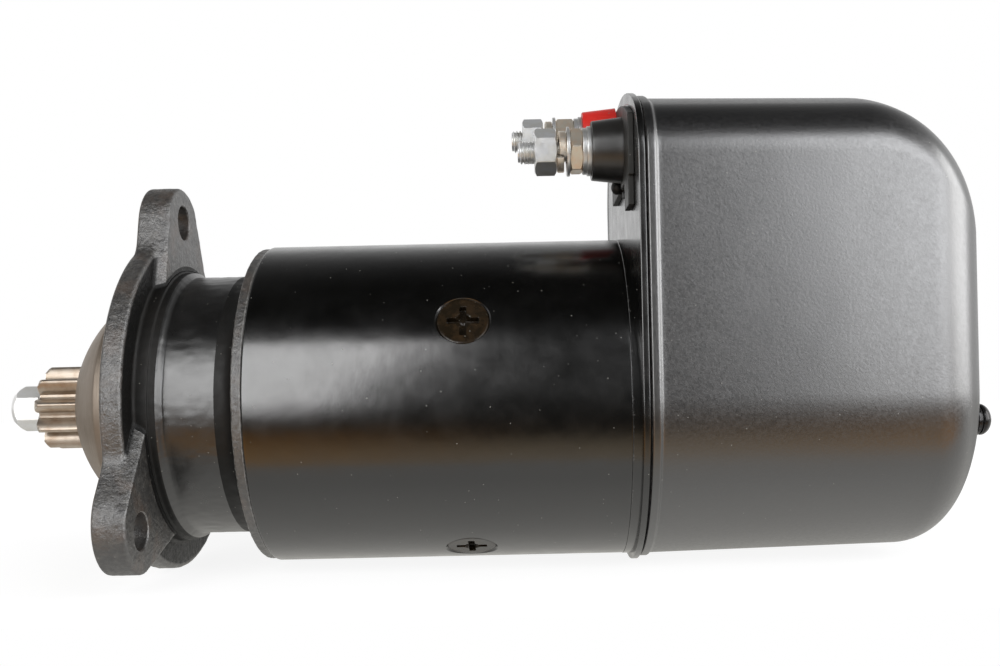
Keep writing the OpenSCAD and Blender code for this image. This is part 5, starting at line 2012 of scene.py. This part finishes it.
@dataclass(frozen=True)
class FloorPaper(Finish):
    """Pale paper, white to the eye but for the object's shadow, and dimmer in a mirror, where it glows most
    just under the object: painted light in reflections.

    The bands are metres from the middle, or from the line under the object.
    """

    name: str
    middle: Place
    pale: float = 0.85
    mirrored: float = 0.3
    shadow: float = 0.22
    white_band: Point = (0.2, 0.5)
    white: Point = (0.88, 1.0)
    under_band: Point = (0.015, 0.09)
    under: Point = (0.72, 0.37)
    under_tint: Colour = (1.0, 0.98, 0.92)

    def lay_out(self, board: NodeBoard) -> None:
        """Lays out the paper's nodes in place of the usual shader.

        Args:
            board: Board of the material.
        """
        nodes, links = board.tree.nodes, board.tree.links
        nodes.remove(board.shader)
        path = board.add("ShaderNodeLightPath", {})
        eye, mirror = path.outputs["Is Camera Ray"], path.outputs["Is Glossy Ray"]
        seen = board.sum("MAXIMUM", eye, board.sum("MAXIMUM", mirror, path.outputs["Is Transmission Ray"]))
        pale, dim, shadow = (rgba(grey(level)) for level in (self.pale, self.mirrored, self.shadow))
        paper = board.add("ShaderNodeBsdfDiffuse", {
            "Color": board.mix(eye, board.mix(mirror, pale, dim), shadow)})
        off = board.add("ShaderNodeVectorMath", {0: board.place, 1: self.middle}, operation="DISTANCE")
        white = board.spread(off.outputs["Value"], *self.white_band, *self.white)
        # In reflections the paper glows, most just under the object: painted light under the object.
        under = board.spread(board.sum("ABSOLUTE", board.axis("Y"), 0.0), *self.under_band, *self.under)
        level = board.add("ShaderNodeMix", {0: mirror, 2: white, 3: under}).outputs[0]
        glow = board.add("ShaderNodeEmission", {
            "Color": board.mix(mirror, rgba(grey(1.0)), rgba(self.under_tint)),
            "Strength": board.sum("MULTIPLY", seen, level)})
        both = board.add("ShaderNodeAddShader", {0: paper.outputs[0], 1: glow.outputs[0]})
        links.new(both.outputs[0], nodes["Material Output"].inputs["Surface"])


@dataclass(frozen=True)
class Softbox:
    """An upright softbox, in metres and degrees.

    Its power is its radiance, where 1 is white. Its top leans to its right, seen from the object,
    and it turns from facing +Y towards -X.
    """

    name: str
    centre: Place
    size: Point
    power: float
    lean: float = 0.0
    turn: float = 0.0
    tint: Colour = grey(1.0)

    def hang(self) -> None:
        """Hangs the softbox, unseen by the camera."""
        Bench.clear()
        bpy.ops.object.light_add(type="AREA", location=self.centre)
        lamp = bpy.context.object
        lamp.rotation_euler = (
            Matrix.Rotation(math.radians(self.turn), 4, "Z") @ Matrix.Rotation(math.pi / 2, 4, "X")
            @ Matrix.Rotation(math.radians(self.lean), 4, "Z")).to_euler()
        lamp.name = self.name
        lamp.data.shape = "RECTANGLE"
        lamp.data.size, lamp.data.size_y = self.size
        lamp.data.energy = self.power * math.pi * self.size[0] * self.size[1]
        lamp.data.color = self.tint
        lamp.visible_camera = False


SOFTBOXES = (
    Softbox("softbox_left", (-0.395, -1.1, 0.5), (0.72, 1.0), power=4.2, lean=-7.0),
    Softbox("softbox_left_foot", (-0.435, -1.1, -0.075), (0.63, 0.15), power=2.1),
    Softbox("softbox_right", (0.965, -1.1, 0.54), (0.74, 1.08), power=4.25, lean=12.0,
            tint=(0.97, 0.98, 1.0)),
    Softbox("softbox_right_foot", (1.0, -1.1, -0.075), (0.66, 0.15), power=1.9),
    Softbox("side_panel", (1.45, -0.525, 0.475), (0.95, 1.05), power=4.5, turn=90.0),
)


@dataclass
class Studio:
    """Camera, backdrop, floor and lamps, in metres; the sensor and the floor's gap are millimetres."""

    camera_at: Place = (0.1653, -0.46508, 0.00448)
    roll: float = -1.256
    focal_px: float = 1011.09
    centre_px: Point = (524.56, 388.25)
    picture: Point = (1000.0, 666.0)
    sensor: float = 36.0
    sight: Point = (0.01, 50.0)
    front_edge: float = -0.118
    floor_x: float = 0.165
    floor_gap: float = 0.4
    floor_size: Point = (4.0, 3.0)
    gap_x: float = 0.1
    side_band: Point = (0.12, 0.5)
    back_band: Point = (-0.25, 0.15)
    fill: float = 0.2

    def camera(self) -> None:
        """Sets up the camera as it stood for the photograph."""
        Bench.clear()
        bpy.ops.object.camera_add(location=self.camera_at)
        eye = bpy.context.object
        eye.name = "camera"
        eye.rotation_euler = (Matrix.Rotation(math.pi / 2, 4, "X")
                              @ Matrix.Rotation(math.radians(self.roll), 4, "Z")).to_euler()
        width, height = self.picture
        eye.data.sensor_width = self.sensor
        eye.data.lens = self.focal_px / width * self.sensor
        eye.data.shift_x = (width / 2 - self.centre_px[0]) / width
        eye.data.shift_y = (self.centre_px[1] - height / 2) / width
        eye.data.clip_start, eye.data.clip_end = self.sight
        bpy.context.scene.camera = eye

    def backdrop(self) -> None:
        """White backdrop; shiny surfaces see a studio with a dark ceiling in front of it."""
        world = bpy.data.worlds.new("studio")
        bpy.context.scene.world = world
        world.use_nodes = True
        world.cycles.sampling_method = "NONE"
        world.node_tree.nodes.clear()
        board = NodeBoard(world.node_tree, "Generated")
        path = board.add("ShaderNodeLightPath", {})
        height = board.spread(board.axis("Z"), -1.0, 1.0)
        front, sides, back = (board.ramp(height, stops) for stops in (FRONT_STUDIO, SIDE_STUDIO, BACK_STUDIO))
        aside = board.sum("ABSOLUTE", board.sum("SUBTRACT", board.axis("X"), self.gap_x), 0.0)
        front = board.mix(board.spread(aside, *self.side_band), front, sides)
        seen = board.mix(board.spread(board.axis("Y"), *self.back_band), front, back)
        shiny = board.mix(path.outputs["Is Glossy Ray"], rgba(grey(self.fill)), seen)
        plain = board.sum("MAXIMUM", path.outputs["Is Camera Ray"], path.outputs["Is Transmission Ray"])
        shown = board.mix(plain, shiny, rgba(grey(1.0)))
        light = board.add("ShaderNodeBackground", {"Color": shown, "Strength": 1.0})
        board.add("ShaderNodeOutputWorld", {"Surface": light.outputs[0]})

    def floor(self) -> None:
        """Lays a pale floor under the object."""
        Bench.clear()
        low = CAD_BOX[0].z - self.floor_gap * MM
        width, depth = self.floor_size
        bpy.ops.mesh.primitive_plane_add(size=1.0, location=(self.floor_x, self.front_edge + depth / 2, low))
        plane = bpy.context.object
        plane.name = "floor"
        plane.scale = (width, depth, 1.0)
        bpy.ops.object.transform_apply(location=True, rotation=True, scale=True)
        plane.data.materials.append(FloorPaper("floor_paper", (self.floor_x, 0.0, low)).material())

    def build(self) -> None:
        """Sets up the whole studio."""
        bpy.context.scene.view_settings.view_transform = "Standard"
        self.camera()
        self.backdrop()
        self.floor()
        for box in SOFTBOXES:
            box.hang()


def main() -> None:
    """Builds the studio and the sub-assemblies in order."""
    logging.basicConfig(level=logging.INFO, format="%(message)s", stream=sys.stdout)
    outline = CapOutline()
    Studio().build()
    DriveHousing().build()
    Yoke().build()
    EndShield(outline).build()
    RearCap(outline).build()
    TerminalPlate().build()
    Terminal("motor", y=-29.0, z=106.0, lift=0.0, lock_t=5.4, tip=7.1,
             insulator_finish=BAKELITE, insulator_slot="black_moulding").build()
    Terminal("battery", y=0.0, z=117.8, lift=2.0, lock_t=8.3, tip=4.8,
             insulator_finish=RED_MOULDING, insulator_slot="red_moulding").build()
    Pinion().build()
    Springs().build()
    Inside().build()


if __name__ == "__main__":
    main()
